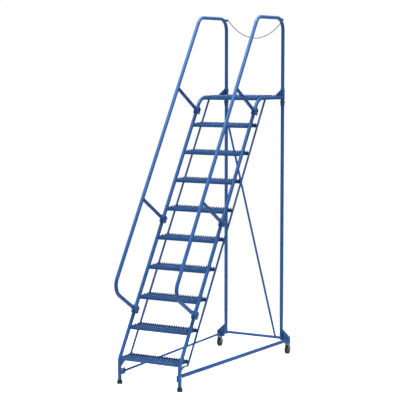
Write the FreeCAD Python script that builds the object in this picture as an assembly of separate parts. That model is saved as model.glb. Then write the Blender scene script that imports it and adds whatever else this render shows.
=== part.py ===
import FreeCAD, Part
import math
import os

# A rolling warehouse ladder: nine diamond-grating treads and a platform between two bent-tube stringers,
# two bent handrails, a rear frame of posts, crossbar and diagonal, rubber feet at the front, and
# two fixed casters on outriggers at the back. A safety chain hangs across the platform's exit.
#
# Axes: X runs across the ladder, Y runs from the climber's side (-Y) to the back, Z is up.
# The side profile is laid out with Y = 0 where the stringers' axis line would meet the floor.
# save() then moves every piece so that the origin is the middle of the whole footprint.

Vector = FreeCAD.Vector
X_AXIS = Vector(1, 0, 0)
Y_AXIS = Vector(0, 1, 0)
Z_AXIS = Vector(0, 0, 1)

# ---- driving dimensions, millimetres ----
STEP_RISE = 254.0          # 10 in between steps
STEP_RUN = 158.0
TREAD_COUNT = 9            # the platform is the tenth step
FIRST_TREAD_BOTTOM = 214.0
OVERALL_HEIGHT = 3302.0    # 130 in

TUBE_RADIUS = 16.7         # 1 in pipe: stringers, posts and handrails
TUBE_WALL = 3.4
SIDE_X = 313.5             # axis of the stringers, posts and handrails
WELD_GAP = 0.02            # hairline left where one coped piece meets another

LEG_BOTTOM = 10.0
LEG_BEND_Z = 224.0
LEG_BEND_RADIUS = 100.0
SIDE_RAIL_Z = 2520.0       # horizontal top run of the stringers
SIDE_RAIL_BEND_RADIUS = 150.0

BACK_RAIL_RADIUS = 9.5
BACK_RAIL_OFFSET = 161.8   # behind the stringers, measured along Y
BACK_RAIL_BOTTOM = 196.0

TREAD_DEPTH = 178.0
TREAD_HEIGHT = 44.5
SHEET = 2.5                # tread sheet thickness
TOOTH_HEIGHT = 12.0        # how far the grating's struts stand above the flanges
STRUT_HEIGHT = 15.0
STRUT_WIDTH = 4.0
DIAMOND_PITCH = 24.7       # across the ladder; the staggered row lies half a pitch over
DIAMOND_COLUMNS = 24
DIAMOND_LENGTH = 57.0      # front to back, about; three make a 7 in tread
GRATING_EDGE = 4.0         # flat edge between a flange's face and the struts
LIP_WIDTH = 12.0
END_PLATE = 3.0
END_PLATE_RISE = 8.0
PLATFORM_FRONT = 1590.0

POST_Y = 2073.7
POST_BOTTOM = 130.0
POST_TOP = 2515.0
SOCKET_RADIUS = 20.3
SOCKET_BOTTOM = 2437.0
SOCKET_TOP = 2609.0
GUSSET_LENGTH = 152.0
GUSSET_THICKNESS = 5.0

HANDRAIL_OFFSET = 412.4    # square distance from the stringers' axes
HANDRAIL_FOOT_Z = 635.0
HANDRAIL_END_Z = 2525.0
HANDRAIL_BEND_RADIUS = 118.0
BRACE_RADIUS = 15.9
BRACE_WALL = 2.0
LOWER_BRACE_Z = 1410.0
UPPER_BRACE_Z = 2403.0

CLAMP_LENGTH = 72.0
CLAMP_WEB = 3.0
CLAMP_EAR = 4.0
CLAMP_REACH = 17.0         # how far the ears pass behind the stringer
CLAMP_CHAMFER = 12.0
CLAMP_CLEARANCE = 0.1
CLAMP_BOLT_SPREAD = 18.0

CROSSBAR_RADIUS = 13.35
CROSSBAR_Z = 151.0
DIAGONAL_RADIUS = 10.0
DIAGONAL_TOP_Z = 2335.0
DIAGONAL_FOOT_X = 247.0

LEFT_BASE_RAIL_RADIUS = 10.65
LEFT_BASE_RAIL_FRONT_Z = 110.0
LEFT_BASE_RAIL_REAR_Z = 126.0
RIGHT_BASE_RAIL_RADIUS = 16.7
RIGHT_BASE_RAIL_FRONT_Z = 123.0
RIGHT_BASE_RAIL_REAR_Z = 134.0
BASE_RAIL_REAR_X = 382.0
BASE_RAIL_OVERLAP = 25.0   # slotted length of the rail over its tab
TAB_THICKNESS = 5.0
TAB_BACK = 62.0
TAB_LOW = 84.0
TAB_HIGH = 140.0
TAB_BOLT_Z = 127.0

FOOT_RADIUS = 24.0
FOOT_TOP_RADIUS = 21.0
FOOT_HEIGHT = 38.0

WHEEL_RADIUS = 44.45       # 3 1/2 in casters
WHEEL_WIDTH = 26.0
WHEEL_X = 384.0
HUB_RADIUS = 33.0
HUB_BOSS_RADIUS = 11.0
HUB_WEB_RECESS = 5.0
BUSH_RADIUS = 6.0
AXLE_RADIUS = 4.0
RUNNING_CLEARANCE = 0.05
HOLE_CLEARANCE = 0.25
FORK_GAP = 29.0
FORK_THICKNESS = 3.5
FORK_TOP = 104.0
FORK_PLATE = 4.5
FORK_PLATE_LENGTH = 60.0
FORK_LEG_WIDTH = 40.0
FORK_LEG_END_RADIUS = 13.0
CASTER_BOLT_SPREAD = 21.0

BRACKET_OUTER_X = 404.0
BRACKET_PLATE = 5.0
BRACKET_HALF_DEPTH = 22.0
BRACKET_CORNER_Z = 160.0
BRACKET_TOP_Z = 231.0
BRACKET_WEB = 5.0
BRACKET_FLANGE = 4.0

CHAIN_TAB_X = 305.0
CHAIN_TAB_THICKNESS = 3.0
CHAIN_TAB_END_RADIUS = 10.5
CHAIN_HOLE_Y = 2088.0
CHAIN_HOLE_Z = 3271.0
CHAIN_HOLE_RADIUS = 6.5
CHAIN_SAG = 175.0
LINK_COUNT = 39
LINK_WIRE = 1.6
LINK_HALF_WIDTH = 4.8
LINK_SLACK = 0.3
HOOK_LENGTH = 34.0         # from the tab's rim to the first link
HOOK_WIRE = 1.8
HOOK_HALF_WIDTH = 6.5
HOOK_EYE_RADIUS = 4.6
HOOK_NOSE = 5.0            # straight end of the hook past its bow
GATE_WIRE = 1.2
GATE_PIN_RADIUS = 0.9
RING_LENGTH = 16.0         # from the last link to the other tab's rim

# ---- derived positions ----
SLOPE = STEP_RUN / STEP_RISE
CLIMB_ANGLE = math.atan2(STEP_RISE, STEP_RUN)
UP_SLOPE = Vector(0, math.cos(CLIMB_ANGLE), math.sin(CLIMB_ANGLE))
OFF_SLOPE = Vector(0, -math.sin(CLIMB_ANGLE), math.cos(CLIMB_ANGLE))
LEG_Y = SLOPE * LEG_BEND_Z
TOP_BAR_Z = OVERALL_HEIGHT - TUBE_RADIUS
TREAD_END_X = SIDE_X - TUBE_RADIUS - WELD_GAP
BACK_RAIL_X = SIDE_X - TUBE_RADIUS + BACK_RAIL_RADIUS
WEB_FACE = TUBE_RADIUS + CLAMP_CLEARANCE + CLAMP_WEB
HANDRAIL_CORNER = (Vector(0, SLOPE * HANDRAIL_FOOT_Z, HANDRAIL_FOOT_Z)
                   + OFF_SLOPE * HANDRAIL_OFFSET)
FRONT_Y = ((HANDRAIL_CORNER + (UP_SLOPE - OFF_SLOPE) * HANDRAIL_BEND_RADIUS).y
           - HANDRAIL_BEND_RADIUS - TUBE_RADIUS)
BACK_Y = POST_Y + WHEEL_RADIUS
MIDDLE_Y = (FRONT_Y + BACK_Y) / 2
CHAIN_Y = CHAIN_HOLE_Y + (CHAIN_HOLE_RADIUS + CHAIN_TAB_END_RADIUS) / 2


# ---- helpers ----
def save(name, shape):
    """Move a piece from the layout frame to the part's frame and write its file."""
    placed = shape.copy()
    placed.translate(Vector(0, -MIDDLE_Y, 0))
    placed.exportStep("parts/" + name + ".step")


def save_pair(name, shape):
    """Write a right-hand piece and its mirror image on the left."""
    save("right_" + name, shape)
    save("left_" + name, mirrored(shape))


def mirrored(shape):
    return shape.mirror(Vector(0, 0, 0), X_AXIS)


def on_side(y, z, x=SIDE_X):
    return Vector(x, y, z)


def on_stringer(z, x=SIDE_X):
    """The point of the stringer's sloping axis at a height."""
    return Vector(x, SLOPE * z, z)


def box(low, high):
    size = high - low
    return Part.makeBox(size.x, size.y, size.z, low)


def rod(start, end, radius):
    along = end - start
    return Part.makeCylinder(radius, along.Length, start, along)


def bent_path(points, radii):
    """A wire of straight runs with a tangent arc of the given radius at each inner point."""
    edges = []
    here = points[0]
    for before, corner, after, radius in zip(points, points[1:], points[2:], radii):
        toward = (before - corner).normalize()
        away = (after - corner).normalize()
        half_angle = toward.getAngle(away) / 2
        tangent = radius / math.tan(half_angle)
        middle = (toward + away).normalize() * (radius / math.sin(half_angle) - radius)
        arc_start = corner + toward * tangent
        arc_end = corner + away * tangent
        edges.append(Part.LineSegment(here, arc_start).toShape())
        edges.append(Part.Arc(arc_start, corner + middle, arc_end).toShape())
        here = arc_end
    edges.append(Part.LineSegment(here, points[-1]).toShape())
    return Part.Wire(edges)


def sweep(points, radii, radius):
    """A solid round bar along a bent path."""
    path = bent_path(points, radii)
    ring = Part.Wire(Part.Circle(points[0], points[1] - points[0], radius).toShape())
    return path.makePipeShell([ring], True, False)


def bent_tube(points, radii, radius, wall):
    return sweep(points, radii, radius).cut(sweep(points, radii, radius - wall))


def straight_tube(start, end, radius, wall):
    return rod(start, end, radius).cut(rod(start, end, radius - wall))


def plate(outline, direction):
    """A flat plate from a closed list of edges, pushed along a vector."""
    return Part.Face(Part.Wire(outline)).extrude(direction)


def polygon_plate(points, direction):
    closed = points + [points[0]]
    return Part.Face(Part.makePolygon(closed)).extrude(direction)


def hexagon(centre, axis, across_flats, height):
    """A hexagonal prism from a centre point along an axis, as a bolt head or nut."""
    across_corners = across_flats / math.cos(math.pi / 6)
    turn = FreeCAD.Rotation(Z_AXIS, axis)
    corners = []
    for corner in range(6):
        angle = math.radians(60 * corner)
        flat = Vector(math.cos(angle), math.sin(angle), 0) * (across_corners / 2)
        corners.append(centre + turn.multVec(flat))
    return polygon_plate(corners, axis * height)


def bolt_and_nut(head_point, axis, grip, radius):
    """Two solids: a hex bolt whose head sits on head_point, and its nut past the grip."""
    across_flats = 3.2 * radius
    head = hexagon(head_point - axis * (1.3 * radius), axis, across_flats, 1.3 * radius)
    nut_height = 1.6 * radius
    shank = rod(head_point, head_point + axis * (grip + nut_height + radius), radius)
    nut_seat = head_point + axis * grip
    bore = rod(nut_seat, nut_seat + axis * nut_height, radius + RUNNING_CLEARANCE)
    nut = hexagon(nut_seat, axis, across_flats, nut_height).cut(bore)
    return [head.fuse(shank).removeSplitter(), nut]


# ---- side frame ----
def stringer_points():
    return [on_side(LEG_Y, LEG_BOTTOM), on_side(LEG_Y, LEG_BEND_Z), on_stringer(SIDE_RAIL_Z),
            on_side(POST_Y, SIDE_RAIL_Z)]


def socket_outer():
    return rod(on_side(POST_Y, SOCKET_BOTTOM), on_side(POST_Y, SOCKET_TOP),
               SOCKET_RADIUS + WELD_GAP)


def stringer_outer():
    bends = [LEG_BEND_RADIUS, SIDE_RAIL_BEND_RADIUS]
    return sweep(stringer_points(), bends, TUBE_RADIUS + WELD_GAP)


def make_stringer():
    bends = [LEG_BEND_RADIUS, SIDE_RAIL_BEND_RADIUS]
    tube = bent_tube(stringer_points(), bends, TUBE_RADIUS, TUBE_WALL)
    return tube.cut([socket_outer(), tab_bolt_hole()])


def make_back_rail():
    start = Vector(BACK_RAIL_X, SLOPE * BACK_RAIL_BOTTOM + BACK_RAIL_OFFSET, BACK_RAIL_BOTTOM)
    end = Vector(BACK_RAIL_X, SLOPE * SIDE_RAIL_Z + BACK_RAIL_OFFSET, SIDE_RAIL_Z)
    return biggest(rod(start, end, BACK_RAIL_RADIUS).cut(stringer_outer()))


def biggest(shape):
    """The main solid of a cut that may also leave slivers."""
    return max(shape.Solids, key=lambda solid: solid.Volume)


def handrail_points():
    top_front = Vector(0, SLOPE * TOP_BAR_Z, TOP_BAR_Z)
    offset_along_y = HANDRAIL_OFFSET / math.sin(CLIMB_ANGLE)
    top_front.y -= offset_along_y
    side = X_AXIS * SIDE_X
    foot = on_stringer(HANDRAIL_FOOT_Z) + OFF_SLOPE * WEB_FACE
    return [foot, HANDRAIL_CORNER + side, top_front + side,
            on_side(POST_Y, TOP_BAR_Z), on_side(POST_Y, HANDRAIL_END_Z)]


def make_handrail():
    bends = [HANDRAIL_BEND_RADIUS] * 3
    tube = bent_tube(handrail_points(), bends, TUBE_RADIUS, TUBE_WALL)
    return tube.cut(socket_bolt_holes())


def handrail_outer():
    return sweep(handrail_points(), [HANDRAIL_BEND_RADIUS] * 3, TUBE_RADIUS + WELD_GAP)


def make_brace(height):
    start = on_stringer(height) + OFF_SLOPE * WEB_FACE
    end = on_stringer(height) + OFF_SLOPE * HANDRAIL_OFFSET
    return biggest(straight_tube(start, end, BRACE_RADIUS, BRACE_WALL).cut(handrail_outer()))


def make_clamp(height):
    """A channel welded to a brace's end, straddling the stringer, with its bolts behind it."""
    centre = on_stringer(height)
    ear_front = WEB_FACE
    ear_back = TUBE_RADIUS + CLAMP_REACH
    half = CLAMP_LENGTH / 2
    outline = [(half, ear_front), (-half, ear_front), (-half, CLAMP_CHAMFER - ear_back),
               (CLAMP_CHAMFER - half, -ear_back), (half - CLAMP_CHAMFER, -ear_back),
               (half, CLAMP_CHAMFER - ear_back)]
    points = [centre + UP_SLOPE * along + OFF_SLOPE * off for along, off in outline]
    outer_half = TUBE_RADIUS + CLAMP_CLEARANCE + CLAMP_EAR
    inner_half = TUBE_RADIUS + CLAMP_CLEARANCE
    body = polygon_plate(points, X_AXIS * (2 * outer_half))
    body.translate(X_AXIS * -outer_half)
    slot_outline = [(half + 1, inner_half), (-half - 1, inner_half),
                    (-half - 1, -ear_back - 1), (half + 1, -ear_back - 1)]
    slot_points = [centre + UP_SLOPE * along + OFF_SLOPE * off for along, off in slot_outline]
    slot = polygon_plate(slot_points, X_AXIS * (2 * inner_half))
    slot.translate(X_AXIS * -inner_half)
    holes = []
    for point in clamp_bolt_points(height):
        holes.append(rod(point - X_AXIS * 40, point + X_AXIS * 40,
                         AXLE_RADIUS + HOLE_CLEARANCE))
    return body.cut([slot] + holes)


def clamp_bolt_points(height):
    """Axis points, at the stringer's middle plane, of a clamp's two bolts."""
    back = TUBE_RADIUS + CLAMP_REACH / 2
    behind = on_stringer(height) - OFF_SLOPE * back
    return [behind + UP_SLOPE * CLAMP_BOLT_SPREAD, behind - UP_SLOPE * CLAMP_BOLT_SPREAD]


def clamp_fasteners():
    """The bolts and nuts of the right-hand side's three clamps."""
    solids = []
    ear_face = TUBE_RADIUS + CLAMP_CLEARANCE + CLAMP_EAR
    for height in (HANDRAIL_FOOT_Z, LOWER_BRACE_Z, UPPER_BRACE_Z):
        for point in clamp_bolt_points(height):
            solids += bolt_and_nut(point + X_AXIS * ear_face, -X_AXIS, 2 * ear_face, AXLE_RADIUS)
    return solids


# ---- treads and platform ----
def diamond_face(x, y, half_width, half_length):
    """A flat diamond about a point, at the height of zero."""
    return Part.Face(Part.makePolygon([Vector(x - half_width, y, 0), Vector(x, y - half_length, 0),
                                       Vector(x + half_width, y, 0), Vector(x, y + half_length, 0),
                                       Vector(x - half_width, y, 0)]))


def make_grating(front, back, bottom):
    """The lattice of struts round staggered rows of diamond openings."""
    end = TREAD_END_X - END_PLATE
    rows = round((back - front) / DIAMOND_LENGTH)
    row_length = (back - front) / rows
    side = math.hypot(DIAMOND_PITCH, row_length) / 2
    inner_reach = DIAMOND_PITCH * row_length / (4 * side)
    shrink = 1 - STRUT_WIDTH / 2 / inner_reach
    openings = []
    for row in range(2 * rows + 1):
        staggered = 1 - row % 2
        for column in range(DIAMOND_COLUMNS + staggered):
            x = (column - (DIAMOND_COLUMNS - 1 + staggered) / 2) * DIAMOND_PITCH
            openings.append(diamond_face(x, front + row * row_length / 2,
                                         shrink * DIAMOND_PITCH / 2, shrink * row_length / 2))
    sheet = Part.makePlane(2 * end, back - front, Vector(-end, front, 0))
    lattice = sheet.cut(openings)
    lattice.translate(Z_AXIS * bottom)
    return [face.extrude(Z_AXIS * STRUT_HEIGHT) for face in lattice.Faces]


def make_deck(front, depth, top):
    """A grating plank: channel flanges with returned lips and flat edges, struts and end plates."""
    bottom = top - TREAD_HEIGHT
    shoulder = top - TOOTH_HEIGHT
    strut_bottom = top - STRUT_HEIGHT
    back = front + depth
    solids = []
    for outer, inward in ((front, 1), (back, -1)):
        for reach, low, high in ((SHEET, bottom, shoulder), (LIP_WIDTH, bottom, bottom + SHEET),
                                 (GRATING_EDGE, strut_bottom, shoulder)):
            near = min(outer, outer + inward * reach)
            solids.append(box(Vector(-TREAD_END_X, near, low),
                              Vector(TREAD_END_X, near + reach, high)))
    for side in (-1, 1):
        near = min(side * TREAD_END_X, side * (TREAD_END_X - END_PLATE))
        solids.append(box(Vector(near, front, bottom + END_PLATE_RISE),
                          Vector(near + END_PLATE, back, shoulder)))
    solids += make_grating(front + GRATING_EDGE, back - GRATING_EDGE, strut_bottom)
    return solids[0].multiFuse(solids[1:]).removeSplitter()


def step_top(number):
    return FIRST_TREAD_BOTTOM + TREAD_HEIGHT + STEP_RISE * (number - 1)


def make_first_tread():
    return make_deck(SLOPE * FIRST_TREAD_BOTTOM, TREAD_DEPTH, step_top(1))


def make_platform():
    depth = POST_Y - SOCKET_RADIUS - PLATFORM_FRONT
    return make_deck(PLATFORM_FRONT, depth, step_top(TREAD_COUNT + 1))


# ---- rear frame ----
def make_post():
    tube = straight_tube(on_side(POST_Y, POST_BOTTOM), on_side(POST_Y, POST_TOP),
                         TUBE_RADIUS, TUBE_WALL)
    return tube.cut(socket_bolt_holes())


def make_socket():
    bottom = on_side(POST_Y, SOCKET_BOTTOM)
    top = on_side(POST_Y, SOCKET_TOP)
    sleeve = rod(bottom, top, SOCKET_RADIUS).cut(rod(bottom, top, TUBE_RADIUS + RUNNING_CLEARANCE))
    return sleeve.cut(socket_bolt_holes())


def socket_bolt_heights():
    return [SOCKET_BOTTOM + 36, SOCKET_TOP - 24]


def socket_bolt_holes():
    holes = []
    for height in socket_bolt_heights():
        middle = on_side(POST_Y, height)
        holes.append(rod(middle - X_AXIS * 30, middle + X_AXIS * 30,
                         AXLE_RADIUS + HOLE_CLEARANCE))
    return holes


def make_platform_gusset():
    """A triangle between the side rail and the corner socket, in the tubes' own plane."""
    half = X_AXIS * (GUSSET_THICKNESS / 2)
    corner = on_side(POST_Y, SIDE_RAIL_Z)
    front = on_side(POST_Y - SOCKET_RADIUS - GUSSET_LENGTH, SIDE_RAIL_Z + TUBE_RADIUS - 2)
    top = on_side(POST_Y - SOCKET_RADIUS + 2, SOCKET_TOP - 3)
    peak = on_side(POST_Y, SOCKET_TOP - 3)
    base = on_side(front.y, SIDE_RAIL_Z)
    points = [corner, base, front, top, peak]
    body = polygon_plate([point - half for point in points], half * 2)
    return biggest(body.cut([stringer_outer(), socket_outer()]))


def post_outer(side):
    return rod(on_side(POST_Y, 0, side * SIDE_X), on_side(POST_Y, POST_TOP, side * SIDE_X),
               TUBE_RADIUS + WELD_GAP)


def make_crossbar():
    tube = straight_tube(on_side(POST_Y, CROSSBAR_Z, -SIDE_X), on_side(POST_Y, CROSSBAR_Z),
                         CROSSBAR_RADIUS, BRACE_WALL)
    return biggest(tube.cut([post_outer(-1), post_outer(1)]))


def make_diagonal():
    top = on_side(POST_Y, DIAGONAL_TOP_Z, -SIDE_X)
    foot = on_side(POST_Y, CROSSBAR_Z, DIAGONAL_FOOT_X)
    crossbar = rod(on_side(POST_Y, CROSSBAR_Z, -SIDE_X), on_side(POST_Y, CROSSBAR_Z),
                   CROSSBAR_RADIUS + WELD_GAP)
    tube = straight_tube(top, foot, DIAGONAL_RADIUS, BRACE_WALL)
    return biggest(tube.cut([post_outer(-1), crossbar]))


# ---- base ----
def tab_bolt_hole():
    return rod(on_side(LEG_Y, TAB_BOLT_Z, SIDE_X - 40), on_side(LEG_Y, TAB_BOLT_Z, SIDE_X + 40),
               AXLE_RADIUS + HOLE_CLEARANCE)


def tab_block(grow=0.0):
    """The base rail's end plate, lying against the inner side of the leg."""
    outer = SIDE_X - TUBE_RADIUS - WELD_GAP
    low = Vector(outer - TAB_THICKNESS - grow, LEG_Y - TUBE_RADIUS, TAB_LOW - grow)
    high = Vector(outer + grow, LEG_Y + TAB_BACK + grow, TAB_HIGH + grow)
    return box(low, high)


def make_rail_tab():
    return tab_block().cut(tab_bolt_hole())


def make_base_rail(radius, front_z, rear_z):
    """A tube slotted over its tab at the front leg and welded to the caster bracket's web."""
    tab_middle = SIDE_X - TUBE_RADIUS - TAB_THICKNESS / 2
    start = Vector(tab_middle, LEG_Y + TAB_BACK - BASE_RAIL_OVERLAP, front_z)
    end = Vector(BASE_RAIL_REAR_X, POST_Y, rear_z)
    tube = straight_tube(start, end, radius, BRACE_WALL)
    behind = box(Vector(SIDE_X, POST_Y - BRACKET_WEB / 2 - WELD_GAP, 0),
                 Vector(BRACKET_OUTER_X + 50, POST_Y + 50, 300))
    return biggest(tube.cut([tab_block(WELD_GAP), behind]))


def make_foot_gusset():
    """A plate with a hollow lower edge that ties the back rail's lower end to the leg."""
    half = X_AXIS * (GUSSET_THICKNESS / 2)
    middle_x = BACK_RAIL_X
    top = FIRST_TREAD_BOTTOM - 3
    leg_side = LEG_Y
    rail_y = SLOPE * BACK_RAIL_BOTTOM + BACK_RAIL_OFFSET
    low_front = Vector(middle_x, leg_side + TUBE_RADIUS, 150)
    low_back = Vector(middle_x, rail_y, BACK_RAIL_BOTTOM)
    curve = Vector(middle_x, leg_side + TUBE_RADIUS + 34, 180)
    top_back = Vector(middle_x, SLOPE * top + BACK_RAIL_OFFSET, top)
    top_front = Vector(middle_x, leg_side, top)
    bottom_front = Vector(middle_x, leg_side, 150)
    outline = [Part.LineSegment(bottom_front, low_front).toShape(),
               Part.Arc(low_front, curve, low_back).toShape(),
               Part.LineSegment(low_back, top_back).toShape(),
               Part.LineSegment(top_back, top_front).toShape(),
               Part.LineSegment(top_front, bottom_front).toShape()]
    body = plate(outline, half * 2)
    body.translate(half * -1)
    reach = UP_SLOPE * 60
    rail = rod(low_back - reach, top_back + reach, BACK_RAIL_RADIUS + WELD_GAP)
    return biggest(body.cut([stringer_outer(), rail]))


def make_rubber_foot():
    """A rubber cup, wider at the floor, that the leg's end stands in."""
    profile = [Vector(0, 0, 0), Vector(FOOT_RADIUS - 2, 0, 0), Vector(FOOT_RADIUS, 0, 3),
               Vector(FOOT_RADIUS, 0, FOOT_HEIGHT * 0.5), Vector(FOOT_TOP_RADIUS, 0, FOOT_HEIGHT - 3),
               Vector(FOOT_TOP_RADIUS - 2, 0, FOOT_HEIGHT), Vector(0, 0, FOOT_HEIGHT), Vector(0, 0, 0)]
    cup = Part.Face(Part.makePolygon(profile)).revolve(Vector(0, 0, 0), Z_AXIS, 360)
    cup.translate(on_side(LEG_Y, 0))
    leg = rod(on_side(LEG_Y, LEG_BOTTOM), on_side(LEG_Y, FOOT_HEIGHT + 1), TUBE_RADIUS + WELD_GAP)
    return cup.cut(leg)


# ---- casters ----
def make_caster_bracket():
    """An outrigger beside the post's foot: a web with a bent flange and a bottom plate."""
    inner = SIDE_X + TUBE_RADIUS - 6
    floor = FORK_TOP
    depth = Y_AXIS * (2 * BRACKET_HALF_DEPTH)
    front = POST_Y - BRACKET_HALF_DEPTH
    web_points = [Vector(inner, 0, floor), Vector(BRACKET_OUTER_X - 1, 0, floor),
                  Vector(BRACKET_OUTER_X - 1, 0, BRACKET_CORNER_Z), Vector(inner, 0, BRACKET_TOP_Z)]
    web_front = POST_Y - BRACKET_WEB / 2
    web = polygon_plate([point + Y_AXIS * web_front for point in web_points],
                        Y_AXIS * BRACKET_WEB)
    bottom = box(Vector(inner + 8, front, floor),
                 Vector(BRACKET_OUTER_X, front + depth.y, floor + BRACKET_PLATE))
    slant = Vector(BRACKET_OUTER_X, 0, BRACKET_CORNER_Z) - Vector(inner, 0, BRACKET_TOP_Z)
    inward = Vector(slant.z, 0, -slant.x).normalize() * BRACKET_FLANGE
    start = Vector(inner, front, BRACKET_TOP_Z)
    slanted = polygon_plate([start, start + slant, start + slant + inward, start + inward], depth)
    outer = box(Vector(BRACKET_OUTER_X - BRACKET_FLANGE, front, floor),
                Vector(BRACKET_OUTER_X, front + depth.y, BRACKET_CORNER_Z))
    body = web.multiFuse([bottom, slanted, outer]).removeSplitter()
    holes = []
    for point in caster_bolt_points():
        holes.append(rod(point, point + Z_AXIS * 40, AXLE_RADIUS + HOLE_CLEARANCE))
    return biggest(body.cut([post_outer(1)] + holes))


def caster_bolt_points():
    """Axis points, at the underside of the fork's plate, of a caster's two bolts."""
    bottom = FORK_TOP - FORK_PLATE
    return [Vector(WHEEL_X, POST_Y - CASTER_BOLT_SPREAD + 6, bottom),
            Vector(WHEEL_X, POST_Y + CASTER_BOLT_SPREAD - 6, bottom)]


def make_fork():
    """A fixed caster's pressed fork: a top plate and two legs that narrow to the axle."""
    half_length = FORK_PLATE_LENGTH / 2
    outer = FORK_GAP / 2 + FORK_THICKNESS
    bottom = FORK_TOP - FORK_PLATE
    solids = [box(Vector(WHEEL_X - outer, POST_Y - half_length, bottom),
                  Vector(WHEEL_X + outer, POST_Y + half_length, FORK_TOP))]
    for inner_x in (WHEEL_X - outer, WHEEL_X + FORK_GAP / 2):
        axle = Vector(inner_x, POST_Y, WHEEL_RADIUS)
        shoulder = FORK_LEG_WIDTH / 2
        end = FORK_LEG_END_RADIUS
        points = [axle + Vector(0, -end, 0), axle + Vector(0, end, 0),
                  Vector(inner_x, POST_Y + shoulder, bottom + 1),
                  Vector(inner_x, POST_Y - shoulder, bottom + 1)]
        solids.append(polygon_plate(points, X_AXIS * FORK_THICKNESS))
        solids.append(rod(axle, axle + X_AXIS * FORK_THICKNESS, end))
    body = solids[0].multiFuse(solids[1:]).removeSplitter()
    axle_start = Vector(WHEEL_X - 30, POST_Y, WHEEL_RADIUS)
    holes = [rod(axle_start, axle_start + X_AXIS * 60, AXLE_RADIUS + HOLE_CLEARANCE)]
    for point in caster_bolt_points():
        holes.append(rod(point - Z_AXIS, point + Z_AXIS * 10, AXLE_RADIUS + HOLE_CLEARANCE))
    return body.cut(holes)


def ring_about_axle(profile):
    """Turn a profile of (offset along X, radius) points about the wheel's axle."""
    points = [Vector(WHEEL_X + along, POST_Y, WHEEL_RADIUS + radius) for along, radius in profile]
    face = Part.Face(Part.makePolygon(points + [points[0]]))
    return face.revolve(Vector(WHEEL_X, POST_Y, WHEEL_RADIUS), X_AXIS, 360)


def make_tyre():
    half = WHEEL_WIDTH / 2
    shoulder = WHEEL_RADIUS - 3
    return ring_about_axle([(-half, HUB_RADIUS), (-half, shoulder), (3 - half, WHEEL_RADIUS),
                            (half - 3, WHEEL_RADIUS), (half, shoulder), (half, HUB_RADIUS)])


def make_hub():
    half = WHEEL_WIDTH / 2
    recess = half - HUB_WEB_RECESS
    bore = BUSH_RADIUS + RUNNING_CLEARANCE
    rim = HUB_RADIUS - 4
    profile = [(-half, bore), (-half, HUB_BOSS_RADIUS), (-recess, HUB_BOSS_RADIUS + 2),
               (-recess, rim - 2), (-half, rim), (-half, HUB_RADIUS), (half, HUB_RADIUS),
               (half, rim), (recess, rim - 2), (recess, HUB_BOSS_RADIUS + 2),
               (half, HUB_BOSS_RADIUS), (half, bore)]
    return ring_about_axle(profile)


def make_bush():
    start = Vector(WHEEL_X - FORK_GAP / 2, POST_Y, WHEEL_RADIUS)
    return straight_tube(start, start + X_AXIS * FORK_GAP, BUSH_RADIUS,
                         BUSH_RADIUS - AXLE_RADIUS - RUNNING_CLEARANCE)


def make_axle():
    """The axle bolt and its lock nut, across the fork."""
    outer = FORK_GAP / 2 + FORK_THICKNESS
    head = Vector(WHEEL_X + outer, POST_Y, WHEEL_RADIUS)
    return Part.makeCompound(bolt_and_nut(head, -X_AXIS, 2 * outer, AXLE_RADIUS))


# ---- fasteners of the right-hand side ----
def frame_fasteners():
    solids = []
    for height in socket_bolt_heights():
        head = on_side(POST_Y, height, SIDE_X + SOCKET_RADIUS)
        solids += bolt_and_nut(head, -X_AXIS, 2 * SOCKET_RADIUS, AXLE_RADIUS)
    tab_inner = SIDE_X - TUBE_RADIUS - WELD_GAP - TAB_THICKNESS
    leg_outer = SIDE_X + TUBE_RADIUS
    solids += bolt_and_nut(on_side(LEG_Y, TAB_BOLT_Z, leg_outer), -X_AXIS, leg_outer - tab_inner,
                           AXLE_RADIUS)
    grip = FORK_PLATE + BRACKET_PLATE
    for point in caster_bolt_points():
        solids += bolt_and_nut(point + Z_AXIS * grip, -Z_AXIS, grip, AXLE_RADIUS)
    return solids


# ---- safety chain ----
def make_chain_tab():
    """A tongue on the outside of the handrail's rear bend, with a hole in its round end."""
    hole = Vector(CHAIN_TAB_X, CHAIN_HOLE_Y, CHAIN_HOLE_Z)
    root = on_side(POST_Y - HANDRAIL_BEND_RADIUS / 2, CHAIN_HOLE_Z, CHAIN_TAB_X)
    upper = Z_AXIS * CHAIN_TAB_END_RADIUS
    tip = hole + Y_AXIS * CHAIN_TAB_END_RADIUS
    outline = [Part.LineSegment(root + upper, hole + upper).toShape(),
               Part.Arc(hole + upper, tip, hole - upper).toShape(),
               Part.LineSegment(hole - upper, root - upper).toShape(),
               Part.LineSegment(root - upper, root + upper).toShape()]
    tongue = plate(outline, X_AXIS * CHAIN_TAB_THICKNESS)
    tongue.translate(X_AXIS * (-CHAIN_TAB_THICKNESS / 2))
    bore = rod(hole - X_AXIS * 10, hole + X_AXIS * 10, CHAIN_HOLE_RADIUS)
    pieces = tongue.cut([handrail_outer(), bore]).Solids
    return max(pieces, key=lambda solid: solid.CenterOfMass.y)


def catenary():
    """The scale and half length of the chain's curve, from its span and sag."""
    low = 1.0
    high = 1e5
    for _ in range(80):
        scale = (low + high) / 2
        if scale * (math.cosh(CHAIN_TAB_X / scale) - 1) > CHAIN_SAG:
            low = scale
        else:
            high = scale
    return scale, scale * math.sinh(CHAIN_TAB_X / scale)


def chain_point(distance):
    """The point on the hanging curve at a distance along it from the left tab's hole."""
    scale, half_length = catenary()
    x = scale * math.asinh((distance - half_length) / scale)
    z = CHAIN_HOLE_Z - CHAIN_SAG + scale * (math.cosh(x / scale) - 1)
    return Vector(x, CHAIN_Y, z)


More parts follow.
